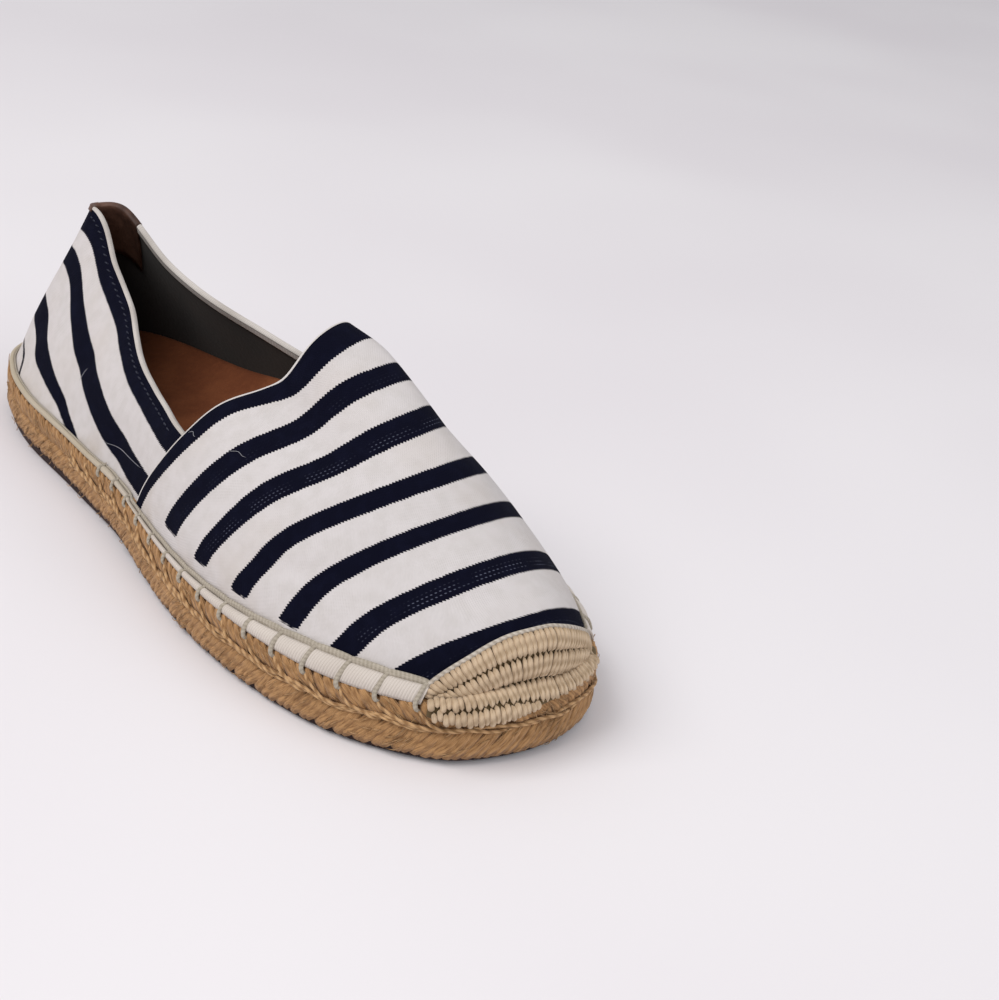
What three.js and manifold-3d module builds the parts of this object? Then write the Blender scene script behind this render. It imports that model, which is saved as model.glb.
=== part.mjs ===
import * as THREE from "three";
import { mergeVertices } from "three/addons/utils/BufferGeometryUtils.js";
import ManifoldModule from "manifold-3d";

// A flat right-foot espadrille in millimetres. The toe points to -Y, the heel to +Y, the outer side of the
// foot is towards -X, and the origin is on the floor under the middle of the shoe.

// Driving dimensions
const SOLE_LENGTH = 258;
const BALL_WIDTH = 96;
const RUBBER_THICKNESS = 3;
const JUTE_HEIGHT = 14;
const TOE_SPRING = 1;
const ARCH_LIFT = 1.2;
const LEDGE_WIDTH = 4;
const SEAT_GAP = 0.3;
const VAMP_WALL = 2.2;
const QUARTER_WALL = 1.6;
const QUARTER_STEP = 0.9;
const QUARTER_UNDERLAP = 10;
const INSOLE_THICKNESS = 2.2;
const INSOLE_CLEARANCE = 0.7;
const TAPE_HEIGHT = 5;
const TAPE_THICKNESS = 1;
const TAPE_GAP = 0.45;
const TAPE_END_GAP = 1.6;
const BINDING_THICKNESS = 0.7;
const BINDING_DEPTH = 3;
const BINDING_GAP = 0.5;
const BINDING_LIFT = 0.5;
const BINDING_END_GAP = 0.8;
const TAB_LENGTH = 36;
const TAB_DEPTH = 18;
const TAB_THICKNESS = 0.9;
const CAP_GAP = 0.75;
const CAP_THICKNESS = 1.3;
const CAP_RIB = 0.6;
const CAP_RIBS = 5;
const RUBBER_INSET = 1.6;
const RUBBER_EDGE = 0.6;
const STRAND_PITCH = 5.5;
const STRAND_RELIEF = 0.8;
const INSTEP_HEIGHT = 82;
const HEEL_HEIGHT = 72;

// The widest line of the sole: how far along the length, and each side as a share of the ball width.
const OUTLINE = [
  { along: 0.0, lateral: 0.0, medial: 0.0 },
  { along: 0.03, lateral: 0.205, medial: 0.18 },
  { along: 0.085, lateral: 0.298, medial: 0.26 },
  { along: 0.17, lateral: 0.358, medial: 0.309 },
  { along: 0.3, lateral: 0.379, medial: 0.317 },
  { along: 0.42, lateral: 0.406, medial: 0.329 },
  { along: 0.54, lateral: 0.464, medial: 0.389 },
  { along: 0.65, lateral: 0.502, medial: 0.469 },
  { along: 0.75, lateral: 0.497, medial: 0.485 },
  { along: 0.85, lateral: 0.444, medial: 0.443 },
  { along: 0.925, lateral: 0.342, medial: 0.36 },
  { along: 0.975, lateral: 0.216, medial: 0.255 },
  { along: 1.0, lateral: 0.0, medial: 0.052 },
];

// How high the underside stands: both flat spots are at 0, the waist and the toe are raised.
const UNDERSIDE = [
  { along: 0.0, arch: 0, spring: 0 },
  { along: 0.34, arch: 0, spring: 0 },
  { along: 0.46, arch: 1, spring: 0 },
  { along: 0.58, arch: 0, spring: 0 },
  { along: 0.76, arch: 0, spring: 0 },
  { along: 0.88, arch: 0, spring: 0.25 },
  { along: 1.0, arch: 0, spring: 1 },
];

// The ridge of the last in the middle of the foot: height above the floor as a share of the instep height, and
// how far it lies to the medial side as a share of the ball width.
const RIDGE = [
  { along: 0.0, height: 1.23, offset: 0 },
  { along: 0.12, height: 1.065, offset: 0 },
  { along: 0.3, height: 0.916, offset: 0.01 },
  { along: 0.42, height: 0.97, offset: 0.02 },
  { along: 0.5, height: 1.0, offset: 0.031 },
  { along: 0.6, height: 0.957, offset: 0.042 },
  { along: 0.7, height: 0.843, offset: 0.052 },
  { along: 0.8, height: 0.693, offset: 0.052 },
  { along: 0.86, height: 0.575, offset: 0.047 },
  { along: 1.0, height: 0.373, offset: 0.042 },
];

// The side wall between the foot of the upper and the ridge. Bulge is a share of the ball width and rise one of
// the instep height: they place the wall's low handle. Reach is how far out the high handle stands.
const WALL = [
  { along: 0.0, bulge: 0.031, rise: 0.228, reach: 0.27 },
  { along: 0.15, bulge: -0.005, rise: 0.183, reach: 0.1 },
  { along: 0.35, bulge: 0.017, rise: 0.237, reach: 0.29 },
  { along: 0.5, bulge: 0.045, rise: 0.25, reach: 0.41 },
  { along: 0.65, bulge: 0.044, rise: 0.218, reach: 0.51 },
  { along: 0.8, bulge: 0.012, rise: 0.104, reach: 0.55 },
  { along: 1.0, bulge: 0.001, rise: 0.03, reach: 0.51 },
];

// How far each station leans back to the heel on its way up to the ridge, as a share of the sole length.
const SWEEP = [
  { along: 0.0, back: 0.084 },
  { along: 0.2, back: 0.082 },
  { along: 0.45, back: 0.099 },
  { along: 0.65, back: 0.136 },
  { along: 0.8, back: 0.073 },
  { along: 0.92, back: 0.047 },
  { along: 1.0, back: 0.036 },
];

// Where the ridge ends over the toe and the heel, and how softly stations gather there, as shares of the length.
const TOE_POLE = 0.986;
const TOE_ROUNDING = 0.062;
const HEEL_POLE = 0.12;
const HEEL_ROUNDING = 0.0155;

// The collar of the quarter: its height above the floor at each station as a share of the heel height.
const COLLAR = [
  { along: 0.0, height: 0.99 },
  { along: 0.06, height: 1.0 },
  { along: 0.14, height: 0.84 },
  { along: 0.24, height: 0.744 },
  { along: 0.36, height: 0.673 },
  { along: 0.5, height: 0.614 },
];
const TOPLINE_ALONG = 0.492;
const CAP_ALONG = 0.93;

// Soft hollows in the vamp, where the cloth has sunk at the top line. Depth is a share of the ball width.
const DENTS = [{ along: 0.5, share: 0.5, length: 0.06, spread: 0.22, depth: 0.03 }];

// The levels of the jute's side, as shares of its height: how far up, how far in, and how far strands lean.
const JUTE_LEVELS = [
  { up: 0.0, inset: 0.17, lean: 0, ribbed: false },
  { up: 0.08, inset: 0.065, lean: 0.3, ribbed: false },
  { up: 0.3, inset: 0.0, lean: 1.1, ribbed: true },
  { up: 0.52, inset: 0.095, lean: 2.0, ribbed: false },
  { up: 0.74, inset: 0.015, lean: 1.1, ribbed: true },
  { up: 0.94, inset: 0.07, lean: 0.3, ribbed: false },
  { up: 1.0, inset: 0.16, lean: 0, ribbed: false },
];

// Where the ends of the cap's upper edge lie up the wall, and how far behind them the toe's form begins.
const CAP_CORNER_RISE = 0.14;
const TOE_FORM_REACH = 0.12;

// How fast the vamp's rows gather towards the toe, and over what length its step behind the top line fades.
const VAMP_GATHER = 1.3;
const TOPLINE_FADE = 3;
const QUARTER_LIFT = 0.05;

// Counts of rows and columns
const RING_COUNT = 84;
const VAMP_ROWS = 24;
const VAMP_COLUMNS = 12;
const QUARTER_ROWS = 48;
const QUARTER_COLUMNS = 7;
const TAPE_ROWS = 76;
const TAPE_COLUMNS = 3;
const CAP_COLUMNS = 28;
const TOE_FORM_ROWS = 60;
const TOE_FORM_COLUMNS = 40;
const CURVE_DIVISIONS = 1200;
const SEARCH_STEPS = 30;
const NORMAL_STEP = 0.001;
const WELD_DISTANCE = 0.001;

const clamp01 = (value) => Math.min(1, Math.max(0, value));
const mix = (a, b, share) => a + (b - a) * share;

function smoothTable(rows, along, column) {
  const last = rows.length - 1;
  const place = Math.min(Math.max(along, rows[0].along), rows[last].along);
  let i = 0;
  while (i < last - 1 && place > rows[i + 1].along) i += 1;
  const slope = (k) => {
    const before = rows[Math.max(k - 1, 0)];
    const after = rows[Math.min(k + 1, last)];
    return (after[column] - before[column]) / (after.along - before.along);
  };
  const width = rows[i + 1].along - rows[i].along;
  const t = (place - rows[i].along) / width;
  const a = rows[i][column];
  const b = rows[i + 1][column];
  return (
    a * (2 * t ** 3 - 3 * t ** 2 + 1) +
    slope(i) * width * (t ** 3 - 2 * t ** 2 + t) +
    b * (3 * t ** 2 - 2 * t ** 3) +
    slope(i + 1) * width * (t ** 3 - t ** 2)
  );
}

const alongOf = (y) => (SOLE_LENGTH / 2 - y) / SOLE_LENGTH;
const yOf = (along) => SOLE_LENGTH / 2 - along * SOLE_LENGTH;

// The outline starts at the back of the heel and goes round by the lateral side, the toe and the medial side.
function outlineCurve() {
  const widestLateral = Math.max(...OUTLINE.map((row) => row.lateral));
  const widestMedial = Math.max(...OUTLINE.map((row) => row.medial));
  const middle = ((widestMedial - widestLateral) / 2) * BALL_WIDTH;
  const inner = OUTLINE.slice(1, -1);
  const toe = OUTLINE[OUTLINE.length - 1];
  const points = [new THREE.Vector3(-middle, yOf(0), 0)];
  for (const row of inner) points.push(new THREE.Vector3(-row.lateral * BALL_WIDTH - middle, yOf(row.along), 0));
  points.push(new THREE.Vector3(toe.medial * BALL_WIDTH - middle, yOf(1), 0));
  for (const row of inner.reverse()) points.push(new THREE.Vector3(row.medial * BALL_WIDTH - middle, yOf(row.along), 0));
  const curve = new THREE.CatmullRomCurve3(points, true, "centripetal");
  curve.arcLengthDivisions = CURVE_DIVISIONS;
  return { curve, middle };
}

const { curve: OUTLINE_CURVE, middle: OUTLINE_MIDDLE } = outlineCurve();
const OUTLINE_LENGTH = OUTLINE_CURVE.getLength();

function outlineAt(share, inset) {
  const wrapped = share - Math.floor(share);
  const point = OUTLINE_CURVE.getPointAt(wrapped);
  const tangent = OUTLINE_CURVE.getTangentAt(wrapped);
  const outward = new THREE.Vector3(tangent.y, -tangent.x, 0).normalize();
  return { point: point.addScaledVector(outward, -inset), outward };
}

function undersideAt(along) {
  return ARCH_LIFT * smoothTable(UNDERSIDE, along, "arch") + TOE_SPRING * smoothTable(UNDERSIDE, along, "spring");
}

const seatHeight = (along) => RUBBER_THICKNESS + JUTE_HEIGHT + SEAT_GAP + Math.max(0, undersideAt(along));

// Where on the ridge the station ends that starts at the given place on the foot of the upper.
function ridgeAlong(footY) {
  const lean = SOLE_LENGTH * smoothTable(SWEEP, alongOf(footY), "back");
  const toePole = yOf(TOE_POLE);
  const heelPole = yOf(HEEL_POLE);
  const round = (distance, share) => 0.5 * (distance + Math.hypot(distance, share * SOLE_LENGTH));
  const tipLean = SOLE_LENGTH * SWEEP[SWEEP.length - 1].back;
  const beyond = round(yOf(1) - tipLean - toePole, TOE_ROUNDING);
  const front = toePole + round(footY - lean - toePole, TOE_ROUNDING) - beyond;
  return alongOf(heelPole - round(heelPole - front, HEEL_ROUNDING));
}

function dentAt(along, share) {
  let depth = 0;
  for (const dent of DENTS) {
    const reach = ((along - dent.along) / dent.length) ** 2 + ((share - dent.share) / dent.spread) ** 2;
    depth += dent.depth * BALL_WIDTH * Math.exp(-reach);
  }
  return depth;
}

// The outer face of the upper: share goes round the outline, rise from the sole at 0 to the ridge at 1.
function lastPoint(share, rise) {
  const { point: foot, outward } = outlineAt(share, LEDGE_WIDTH);
  const along = alongOf(foot.y);
  const top = ridgeAlong(foot.y);
  const ridge = INSTEP_HEIGHT * smoothTable(RIDGE, top, "height");
  const ridgeX = BALL_WIDTH * smoothTable(RIDGE, top, "offset") - OUTLINE_MIDDLE;
  const b0 = (1 - rise) ** 3;
  const b1 = 3 * rise * (1 - rise) ** 2;
  const b2 = 3 * rise * rise * (1 - rise);
  const b3 = rise ** 3;
  const inward = b2 * (1 - smoothTable(WALL, along, "reach")) + b3;
  const bulge = b1 * BALL_WIDTH * smoothTable(WALL, along, "bulge");
  const seat = seatHeight(along);
  const handle = seat + INSTEP_HEIGHT * smoothTable(WALL, along, "rise");
  const height = b0 * seat + b1 * handle + (b2 + b3) * ridge;
  const back = inward * (2 - inward);
  return new THREE.Vector3(
    mix(foot.x, ridgeX, inward) + outward.x * bulge,
    mix(foot.y, yOf(top), back) + outward.y * bulge,
    height
  );
}

// A point at a distance outside the outer face, or inside it where the distance is below 0.
function skinPoint(share, rise, distance) {
  const low = Math.max(0, rise - NORMAL_STEP);
  const high = Math.min(1, rise + NORMAL_STEP);
  const around = lastPoint(share + NORMAL_STEP, rise).sub(lastPoint(share - NORMAL_STEP, rise));
  const up = lastPoint(share, high).sub(lastPoint(share, low));
  const outward = around.cross(up).normalize();
  const foot = outlineAt(share, LEDGE_WIDTH).point;
  const sunk = share < 0.5 ? dentAt(alongOf(foot.y), rise) : 0;
  const point = lastPoint(share, rise).addScaledVector(outward, distance - sunk);
  return rise === 0 ? point.setZ(seatHeight(alongOf(foot.y))) : point;
}

// Each side's outline share for a place along the foot of the upper.
function footShares(samples) {
  const lateral = [];
  const medial = [];
  for (let i = 0; i <= samples; i += 1) {
    const share = (0.5 * i) / samples;
    lateral.push({ share, along: alongOf(outlineAt(share, LEDGE_WIDTH).point.y) });
    medial.push({ share: 1 - share, along: alongOf(outlineAt(1 - share, LEDGE_WIDTH).point.y) });
  }
  return { lateral, medial };
}

const FOOT_SHARES = footShares(CURVE_DIVISIONS);
const TIP_ALONG = FOOT_SHARES.lateral[CURVE_DIVISIONS].along;

function footShare(side, along) {
  const rows = FOOT_SHARES[side];
  let low = 0;
  let high = rows.length - 1;
  while (high - low > 1) {
    const middle = (low + high) >> 1;
    if (rows[middle].along < along) low = middle;
    else high = middle;
  }
  const span = rows[high].along - rows[low].along;
  const t = span > 0 ? clamp01((along - rows[low].along) / span) : 1;
  return mix(rows[low].share, rows[high].share, t);
}

// How far up its station the wall reaches a height above the floor.
function riseAt(share, height) {
  let low = 0;
  let high = 1;
  for (let i = 0; i < SEARCH_STEPS; i += 1) {
    const middle = (low + high) / 2;
    if (lastPoint(share, middle).z < height) low = middle;
    else high = middle;
  }
  return (low + high) / 2;
}

const collarHeight = (along) => HEEL_HEIGHT * smoothTable(COLLAR, along, "height");

function collarRise(share) {
  return riseAt(share, collarHeight(alongOf(outlineAt(share, LEDGE_WIDTH).point.y)));
}

// Makes one closed body of triangles from loose vertices: near ones become one, and flattened faces go.
function bodyOf(points, faces) {
  const loose = new THREE.BufferGeometry();
  loose.setAttribute("position", new THREE.Float32BufferAttribute(points.flatMap((p) => [p.x, p.y, p.z]), 3));
  loose.setIndex(faces.flat());
  const merged = mergeVertices(loose, WELD_DISTANCE);
  const index = merged.index.array;
  const kept = [];
  for (let i = 0; i < index.length; i += 3) {
    const [a, b, c] = [index[i], index[i + 1], index[i + 2]];
    if (a !== b && b !== c && c !== a) kept.push(a, b, c);
  }
  merged.setIndex(kept);
  return merged;
}

// A wall between an outer and an inner face, each given as rows of points. A folded wall ends in a row
// that runs up one side and down the same line, so that end needs no edge.
function wallBody(outer, inner, folded = false) {
  const rows = outer.length;
  const columns = outer[0].length;
  const points = [...outer.flat(), ...inner.flat()];
  const at = (side, i, j) => side * rows * columns + i * columns + j;
  const faces = [];
  const quad = (a, b, c, d) => faces.push([a, b, c], [a, c, d]);
  for (let i = 0; i < rows - 1; i += 1) {
    for (let j = 0; j < columns - 1; j += 1) {
      quad(at(0, i, j), at(0, i, j + 1), at(0, i + 1, j + 1), at(0, i + 1, j));
      quad(at(1, i, j), at(1, i + 1, j), at(1, i + 1, j + 1), at(1, i, j + 1));
    }
    quad(at(0, i, 0), at(0, i + 1, 0), at(1, i + 1, 0), at(1, i, 0));
    quad(at(0, i + 1, columns - 1), at(0, i, columns - 1), at(1, i, columns - 1), at(1, i + 1, columns - 1));
  }
  for (let j = 0; j < columns - 1; j += 1) {
    quad(at(0, 0, j + 1), at(0, 0, j), at(1, 0, j), at(1, 0, j + 1));
    if (!folded) quad(at(0, rows - 1, j), at(0, rows - 1, j + 1), at(1, rows - 1, j + 1), at(1, rows - 1, j));
  }
  return bodyOf(points, faces);
}

// A body of closed rings from the bottom up. Both ends are closed by strips from side to side, so that they
// follow the curve of the sole from heel to toe.
function ringBody(rings) {
  const count = rings[0].length;
  const half = count / 2;
  const top = rings.length - 1;
  const at = (ring, i) => ring * count + (((i % count) + count) % count);
  const faces = [];
  for (let ring = 0; ring < top; ring += 1) {
    for (let i = 0; i < count; i += 1) {
      faces.push([at(ring, i), at(ring, i + 1), at(ring + 1, i + 1)]);
      faces.push([at(ring, i), at(ring + 1, i + 1), at(ring + 1, i)]);
    }
  }
  for (let i = 0; i < half; i += 1) {
    const [a, b, c, d] = [i, i + 1, -i - 1, -i];
    faces.push([at(0, a), at(0, c), at(0, b)], [at(top, a), at(top, b), at(top, c)]);
    faces.push([at(0, a), at(0, d), at(0, c)], [at(top, a), at(top, c), at(top, d)]);
  }
  return bodyOf(rings.flat(), faces);
}

// A body swept through sections that all have the same corners, closed at both ends.
function sweptBody(sections, corners) {
  const count = corners.length;
  const cap = THREE.ShapeUtils.triangulateShape(corners, []);
  const faces = [];
  const last = (sections.length - 1) * count;
  for (let i = 0; i < sections.length - 1; i += 1) {
    for (let j = 0; j < count; j += 1) {
      const next = (j + 1) % count;
      const [a, b] = [i * count + j, i * count + next];
      faces.push([a, b, b + count], [a, b + count, a + count]);
    }
  }
  for (const [a, b, c] of cap) faces.push([a, c, b], [last + a, last + b, last + c]);
  return bodyOf(sections.flat(), faces);
}

const wasm = await ManifoldModule();
wasm.setup();

function solidOf(geometry) {
  const mesh = new wasm.Mesh({
    numProp: 3,
    vertProperties: new Float32Array(geometry.attributes.position.array),
    triVerts: new Uint32Array(geometry.index.array),
  });
  return new wasm.Manifold(mesh);
}

function geometryOf(solid) {
  const mesh = solid.getMesh();
  const geometry = new THREE.BufferGeometry();
  geometry.setAttribute("position", new THREE.BufferAttribute(new Float32Array(mesh.vertProperties), 3));
  geometry.setIndex(new THREE.BufferAttribute(new Uint32Array(mesh.triVerts), 1));
  return geometry;
}

// One turn of the sole's outline, lifted with the underside. Lean turns the ring's corners along the outline.
function soleRing(count, insetOf, height, lean = 0) {
  const ring = [];
  for (let i = 0; i < count; i += 1) {
    const { point } = outlineAt((i + lean) / count, insetOf(i));
    ring.push(point.setZ(height + Math.max(0, undersideAt(alongOf(point.y)))));
  }
  return ring;
}

function outsoleGeometry() {
  return ringBody([
    soleRing(RING_COUNT, () => RUBBER_INSET + RUBBER_EDGE, 0),
    soleRing(RING_COUNT, () => RUBBER_INSET, RUBBER_EDGE),
    soleRing(RING_COUNT, () => RUBBER_INSET, RUBBER_THICKNESS),
  ]);
}

// The side of the jute shows two bands of strands that slant against each other and meet in a crease.
function juteGeometry() {
  const count = 4 * Math.round(OUTLINE_LENGTH / STRAND_PITCH / 2);
  const floor = RUBBER_THICKNESS + SEAT_GAP;
  const height = JUTE_HEIGHT - SEAT_GAP;
  const rings = JUTE_LEVELS.map(({ up, inset, lean, ribbed }) => {
    const insetOf = (i) => inset * height + (ribbed && i % 2 ? STRAND_RELIEF : 0);
    return soleRing(count, insetOf, floor + up * height, lean);
  });
  return ringBody(rings);
}

// The insole lies on the jute inside the upper, and its edge follows the wall.
function insoleGeometry() {
  const inside = -QUARTER_STEP - QUARTER_WALL - INSOLE_CLEARANCE;
  const ring = (up) => {
    const points = [];
    for (let i = 0; i < RING_COUNT; i += 1) {
      const share = i / RING_COUNT;
      const seat = lastPoint(share, 0).z;
      points.push(skinPoint(share, riseAt(share, seat + up), inside).setZ(seat + up));
    }
    return points;
  };
  return ringBody([ring(0), ring(INSOLE_THICKNESS)]);
}

// The front of the upper in rows from the top line to the toe, each row from the medial foot over the ridge.
function vampRows(distance) {
  const start = footShare("lateral", TOPLINE_ALONG);
  const grid = [];
  for (let i = 0; i <= VAMP_ROWS; i += 1) {
    const lateral = mix(start, 0.5, 1 - (1 - i / VAMP_ROWS) ** VAMP_GATHER);
    const along = alongOf(outlineAt(lateral, LEDGE_WIDTH).point.y);
    const medial = i === VAMP_ROWS ? 0.5 : footShare("medial", along);
    const row = [];
    for (let j = 0; j < VAMP_COLUMNS; j += 1) row.push(skinPoint(medial, j / VAMP_COLUMNS, distance));
    for (let j = VAMP_COLUMNS; j >= 0; j -= 1) row.push(skinPoint(lateral, j / VAMP_COLUMNS, distance));
    grid.push(row);
  }
  return grid;
}

// The stations of the quarter from the lateral side round the heel to the medial side, closest at the heel.
function quarterStations() {
  const reach = TOPLINE_ALONG + QUARTER_UNDERLAP / SOLE_LENGTH;
  const lateral = footShare("lateral", reach);
  const medial = footShare("medial", reach) - 1;
  const stations = [];
  for (let i = 0; i <= QUARTER_ROWS; i += 1) {
    const place = (2 * i) / QUARTER_ROWS - 1;
    const eased = 0.5 * place + 0.5 * place ** 3;
    stations.push(mix(lateral, medial, (eased + 1) / 2));
  }
  return stations;
}

const QUARTER_STATIONS = quarterStations();

// The back of the upper, each row from the foot to the collar.
function quarterRows(distance) {
  return QUARTER_STATIONS.map((share) => {
    const top = collarRise(share);
    const foot = riseAt(share, lastPoint(share, 0).z + QUARTER_LIFT);
    const row = [];
    for (let j = 0; j <= QUARTER_COLUMNS; j += 1) {
      row.push(skinPoint(share, mix(foot, top, j / QUARTER_COLUMNS), distance));
    }
    return row;
  });
}

function upperGeometry() {
  const vamp = wallBody(vampRows(0), vampRows(-VAMP_WALL), true);
  const quarter = wallBody(quarterRows(-QUARTER_STEP), quarterRows(-QUARTER_STEP - QUARTER_WALL));
  return geometryOf(solidOf(vamp).add(solidOf(quarter)));
}

// How far the outer face of the upper lies in from the vamp's own face, at the vamp and behind its top line.
function stepAt(share) {
  const along = alongOf(outlineAt(share, LEDGE_WIDTH).point.y);
  const fade = TOPLINE_FADE / SOLE_LENGTH;
  return QUARTER_STEP * clamp01((TOPLINE_ALONG - fade - along) / fade);
}

function tapeGeometry() {
  const start = footShare("lateral", CAP_ALONG) - TAPE_END_GAP / OUTLINE_LENGTH;
  const end = footShare("medial", CAP_ALONG) - 1 + TAPE_END_GAP / OUTLINE_LENGTH;
  const face = (distance) => {
    const grid = [];
    for (let i = 0; i <= TAPE_ROWS; i += 1) {
      const share = mix(start, end, i / TAPE_ROWS);
      const top = riseAt(share, lastPoint(share, 0).z + TAPE_HEIGHT);
      const row = [];
      for (let j = 0; j <= TAPE_COLUMNS; j += 1) {
        row.push(skinPoint(share, (top * j) / TAPE_COLUMNS, TAPE_GAP + distance - stepAt(share)));
      }
      grid.push(row);
    }
    return grid;
  };
  return wallBody(face(TAPE_THICKNESS), face(0));
}

// A strip folded over the collar between two stations, with its own depth on each side.
function foldedStrip(from, to, thickness, outerDepth, innerDepth) {
  const outerFace = BINDING_GAP - QUARTER_STEP;
  const innerFace = -QUARTER_STEP - QUARTER_WALL - BINDING_GAP;
  const corners = [
    { across: outerFace + thickness, up: -outerDepth },
    { across: outerFace + thickness, up: BINDING_LIFT },
    { across: outerFace, up: BINDING_LIFT + thickness },
    { across: innerFace, up: BINDING_LIFT + thickness },
    { across: innerFace - thickness, up: BINDING_LIFT },
    { across: innerFace - thickness, up: -innerDepth / 2 },
    { across: innerFace - thickness, up: -innerDepth },
    { across: innerFace, up: -innerDepth },
    { across: innerFace, up: -innerDepth / 2 },
    { across: innerFace, up: BINDING_LIFT },
    { across: outerFace, up: BINDING_LIFT },
    { across: outerFace, up: -outerDepth },
  ];
  const between = QUARTER_STATIONS.filter((share) => share < from && share > to);
  const sections = [from, ...between, to].map((share) => {
    const rise = collarRise(share);
    const edgeHeight = lastPoint(share, rise).z;
    return corners.map(({ across, up }) => {
      if (up < 0) return skinPoint(share, riseAt(share, edgeHeight + up), across);
      const edge = skinPoint(share, rise, across);
      return edge.setZ(edge.z + up);
    });
  });
  return sweptBody(sections, corners.map(({ across, up }) => new THREE.Vector2(across, up)));
}

const TAB_HALF = TAB_LENGTH / 2 / OUTLINE_LENGTH;
const STRIP_GAP = BINDING_END_GAP / OUTLINE_LENGTH;

function bindingGeometry(side) {
  const end = footShare(side, TOPLINE_ALONG - (2 * SEAT_GAP) / SOLE_LENGTH);
  const [from, to] = side === "lateral" ? [end, TAB_HALF + STRIP_GAP] : [-TAB_HALF - STRIP_GAP, end - 1];
  return foldedStrip(from, to, BINDING_THICKNESS, BINDING_DEPTH, BINDING_DEPTH);
}

function tabGeometry() {
  return foldedStrip(TAB_HALF, -TAB_HALF, TAB_THICKNESS, BINDING_DEPTH, TAB_DEPTH);
}

// The toe's outer face as a mesh that rays from inside the toe can meet.
function toeForm(distance) {
  const columns = TOE_FORM_COLUMNS;
  const points = [];
  const faces = [];
  const from = footShare("lateral", CAP_ALONG - TOE_FORM_REACH);
  for (let i = 0; i <= TOE_FORM_ROWS; i += 1) {
    const lateral = mix(from, 0.5, i / TOE_FORM_ROWS);
    const medial = i === TOE_FORM_ROWS ? 0.5 : footShare("medial", alongOf(outlineAt(lateral, LEDGE_WIDTH).point.y));
    for (let j = 0; j <= columns; j += 1) points.push(skinPoint(lateral, j / columns, distance));
    for (let j = columns; j >= 0; j -= 1) points.push(skinPoint(medial, j / columns, distance));
  }
  const width = 2 * columns + 2;
  for (let i = 0; i < TOE_FORM_ROWS; i += 1) {
    for (let j = 0; j < width - 1; j += 1) {
      const a = i * width + j;
      faces.push([a, a + 1, a + width + 1], [a, a + width + 1, a + width]);
    }
  }
  return new THREE.Mesh(bodyOf(points, faces), new THREE.MeshBasicMaterial({ side: THREE.DoubleSide }));
}

// The crocheted cap lies on the toe in curved rows between the edge over the toe and the sole.
function capGeometry() {
  const rows = 2 * CAP_RIBS;
  const columns = CAP_COLUMNS;
  const lateral = footShare("lateral", CAP_ALONG);
  const medial = footShare("medial", CAP_ALONG);
  const upperEdge = [];
  const foot = [];
  for (let j = 0; j <= columns; j += 1) {
    const half = Math.min(j, columns - j) / (columns / 2);
    const share = j <= columns / 2 ? lateral : medial;
    upperEdge.push(skinPoint(share, mix(CAP_CORNER_RISE, 1, half), 0));
    foot.push(skinPoint(mix(lateral, medial, j / columns), 0, 0));
  }
  const centre = foot[0].clone().add(foot[columns]).multiplyScalar(0.5);
  const caster = new THREE.Raycaster();
  const hit = (form, target) => {
    const direction = target.clone().sub(centre).normalize();
    caster.set(centre, direction);
    return caster.intersectObject(form)[0].point;
  };
  const inner = toeForm(CAP_GAP);
  const valley = toeForm(CAP_GAP + CAP_THICKNESS);
  const crest = toeForm(CAP_GAP + CAP_THICKNESS + CAP_RIB);
  const face = (formAt, distance) => {
    const grid = [foot.map((_, j) => skinPoint(mix(lateral, medial, j / columns), 0, distance))];
    for (let i = 1; i <= rows; i += 1) {
      grid.push(foot.map((point, j) => hit(formAt(i), point.clone().lerp(upperEdge[j], i / rows))));
    }
    return grid;
  };
  return wallBody(face((i) => (i % 2 ? crest : valley), CAP_GAP + CAP_THICKNESS), face(() => inner, CAP_GAP));
}

const SHADES = {
  rubber: { color: 0x3a2424, roughness: 0.85 },
  jute: { color: 0xbf9464, roughness: 0.95 },
  canvas: { color: 0xd9d2cf, roughness: 0.95 },
  tape: { color: 0xf0e8e0, roughness: 0.9 },
  crochet: { color: 0xbeaf8c, roughness: 0.95 },
  leather: { color: 0x4a2b1c, roughness: 0.7 },
  suede: { color: 0x784123, roughness: 0.9 },
};

const PARTS = [
  { name: "outsole_rubber", shade: "rubber", make: outsoleGeometry },
  { name: "jute_sole", shade: "jute", make: juteGeometry },
  { name: "insole", shade: "suede", make: insoleGeometry },
  { name: "upper", shade: "canvas", make: upperGeometry },
  { name: "toe_cap", shade: "crochet", make: capGeometry },
  { name: "edge_tape", shade: "tape", make: tapeGeometry },
  { name: "collar_binding_lateral", shade: "tape", make: () => bindingGeometry("lateral") },
  { name: "collar_binding_medial", shade: "tape", make: () => bindingGeometry("medial") },
  { name: "heel_tab", shade: "leather", make: tabGeometry },
];

const espadrille = new THREE.Group();
for (const { name, shade, make } of PARTS) {
  const mesh = new THREE.Mesh(make(), new THREE.MeshStandardMaterial({ ...SHADES[shade], metalness: 0 }));
  mesh.name = name;
  espadrille.add(mesh);
}

export default espadrille;
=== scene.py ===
"""Dresses a right-foot espadrille for a photograph: striped canvas, jute, crochet, tape, leather and suede.

Lengths are in millimetres, and only a piece's own points are set in metres. The toe points to -Y, the outer
side of the foot is towards -X, and one form, the last, carries every piece.
"""
import logging
import math
from dataclasses import dataclass, field
from enum import Enum

import bpy
import numpy as np
from mathutils import Matrix, Vector
from mathutils.bvhtree import BVHTree


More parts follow.
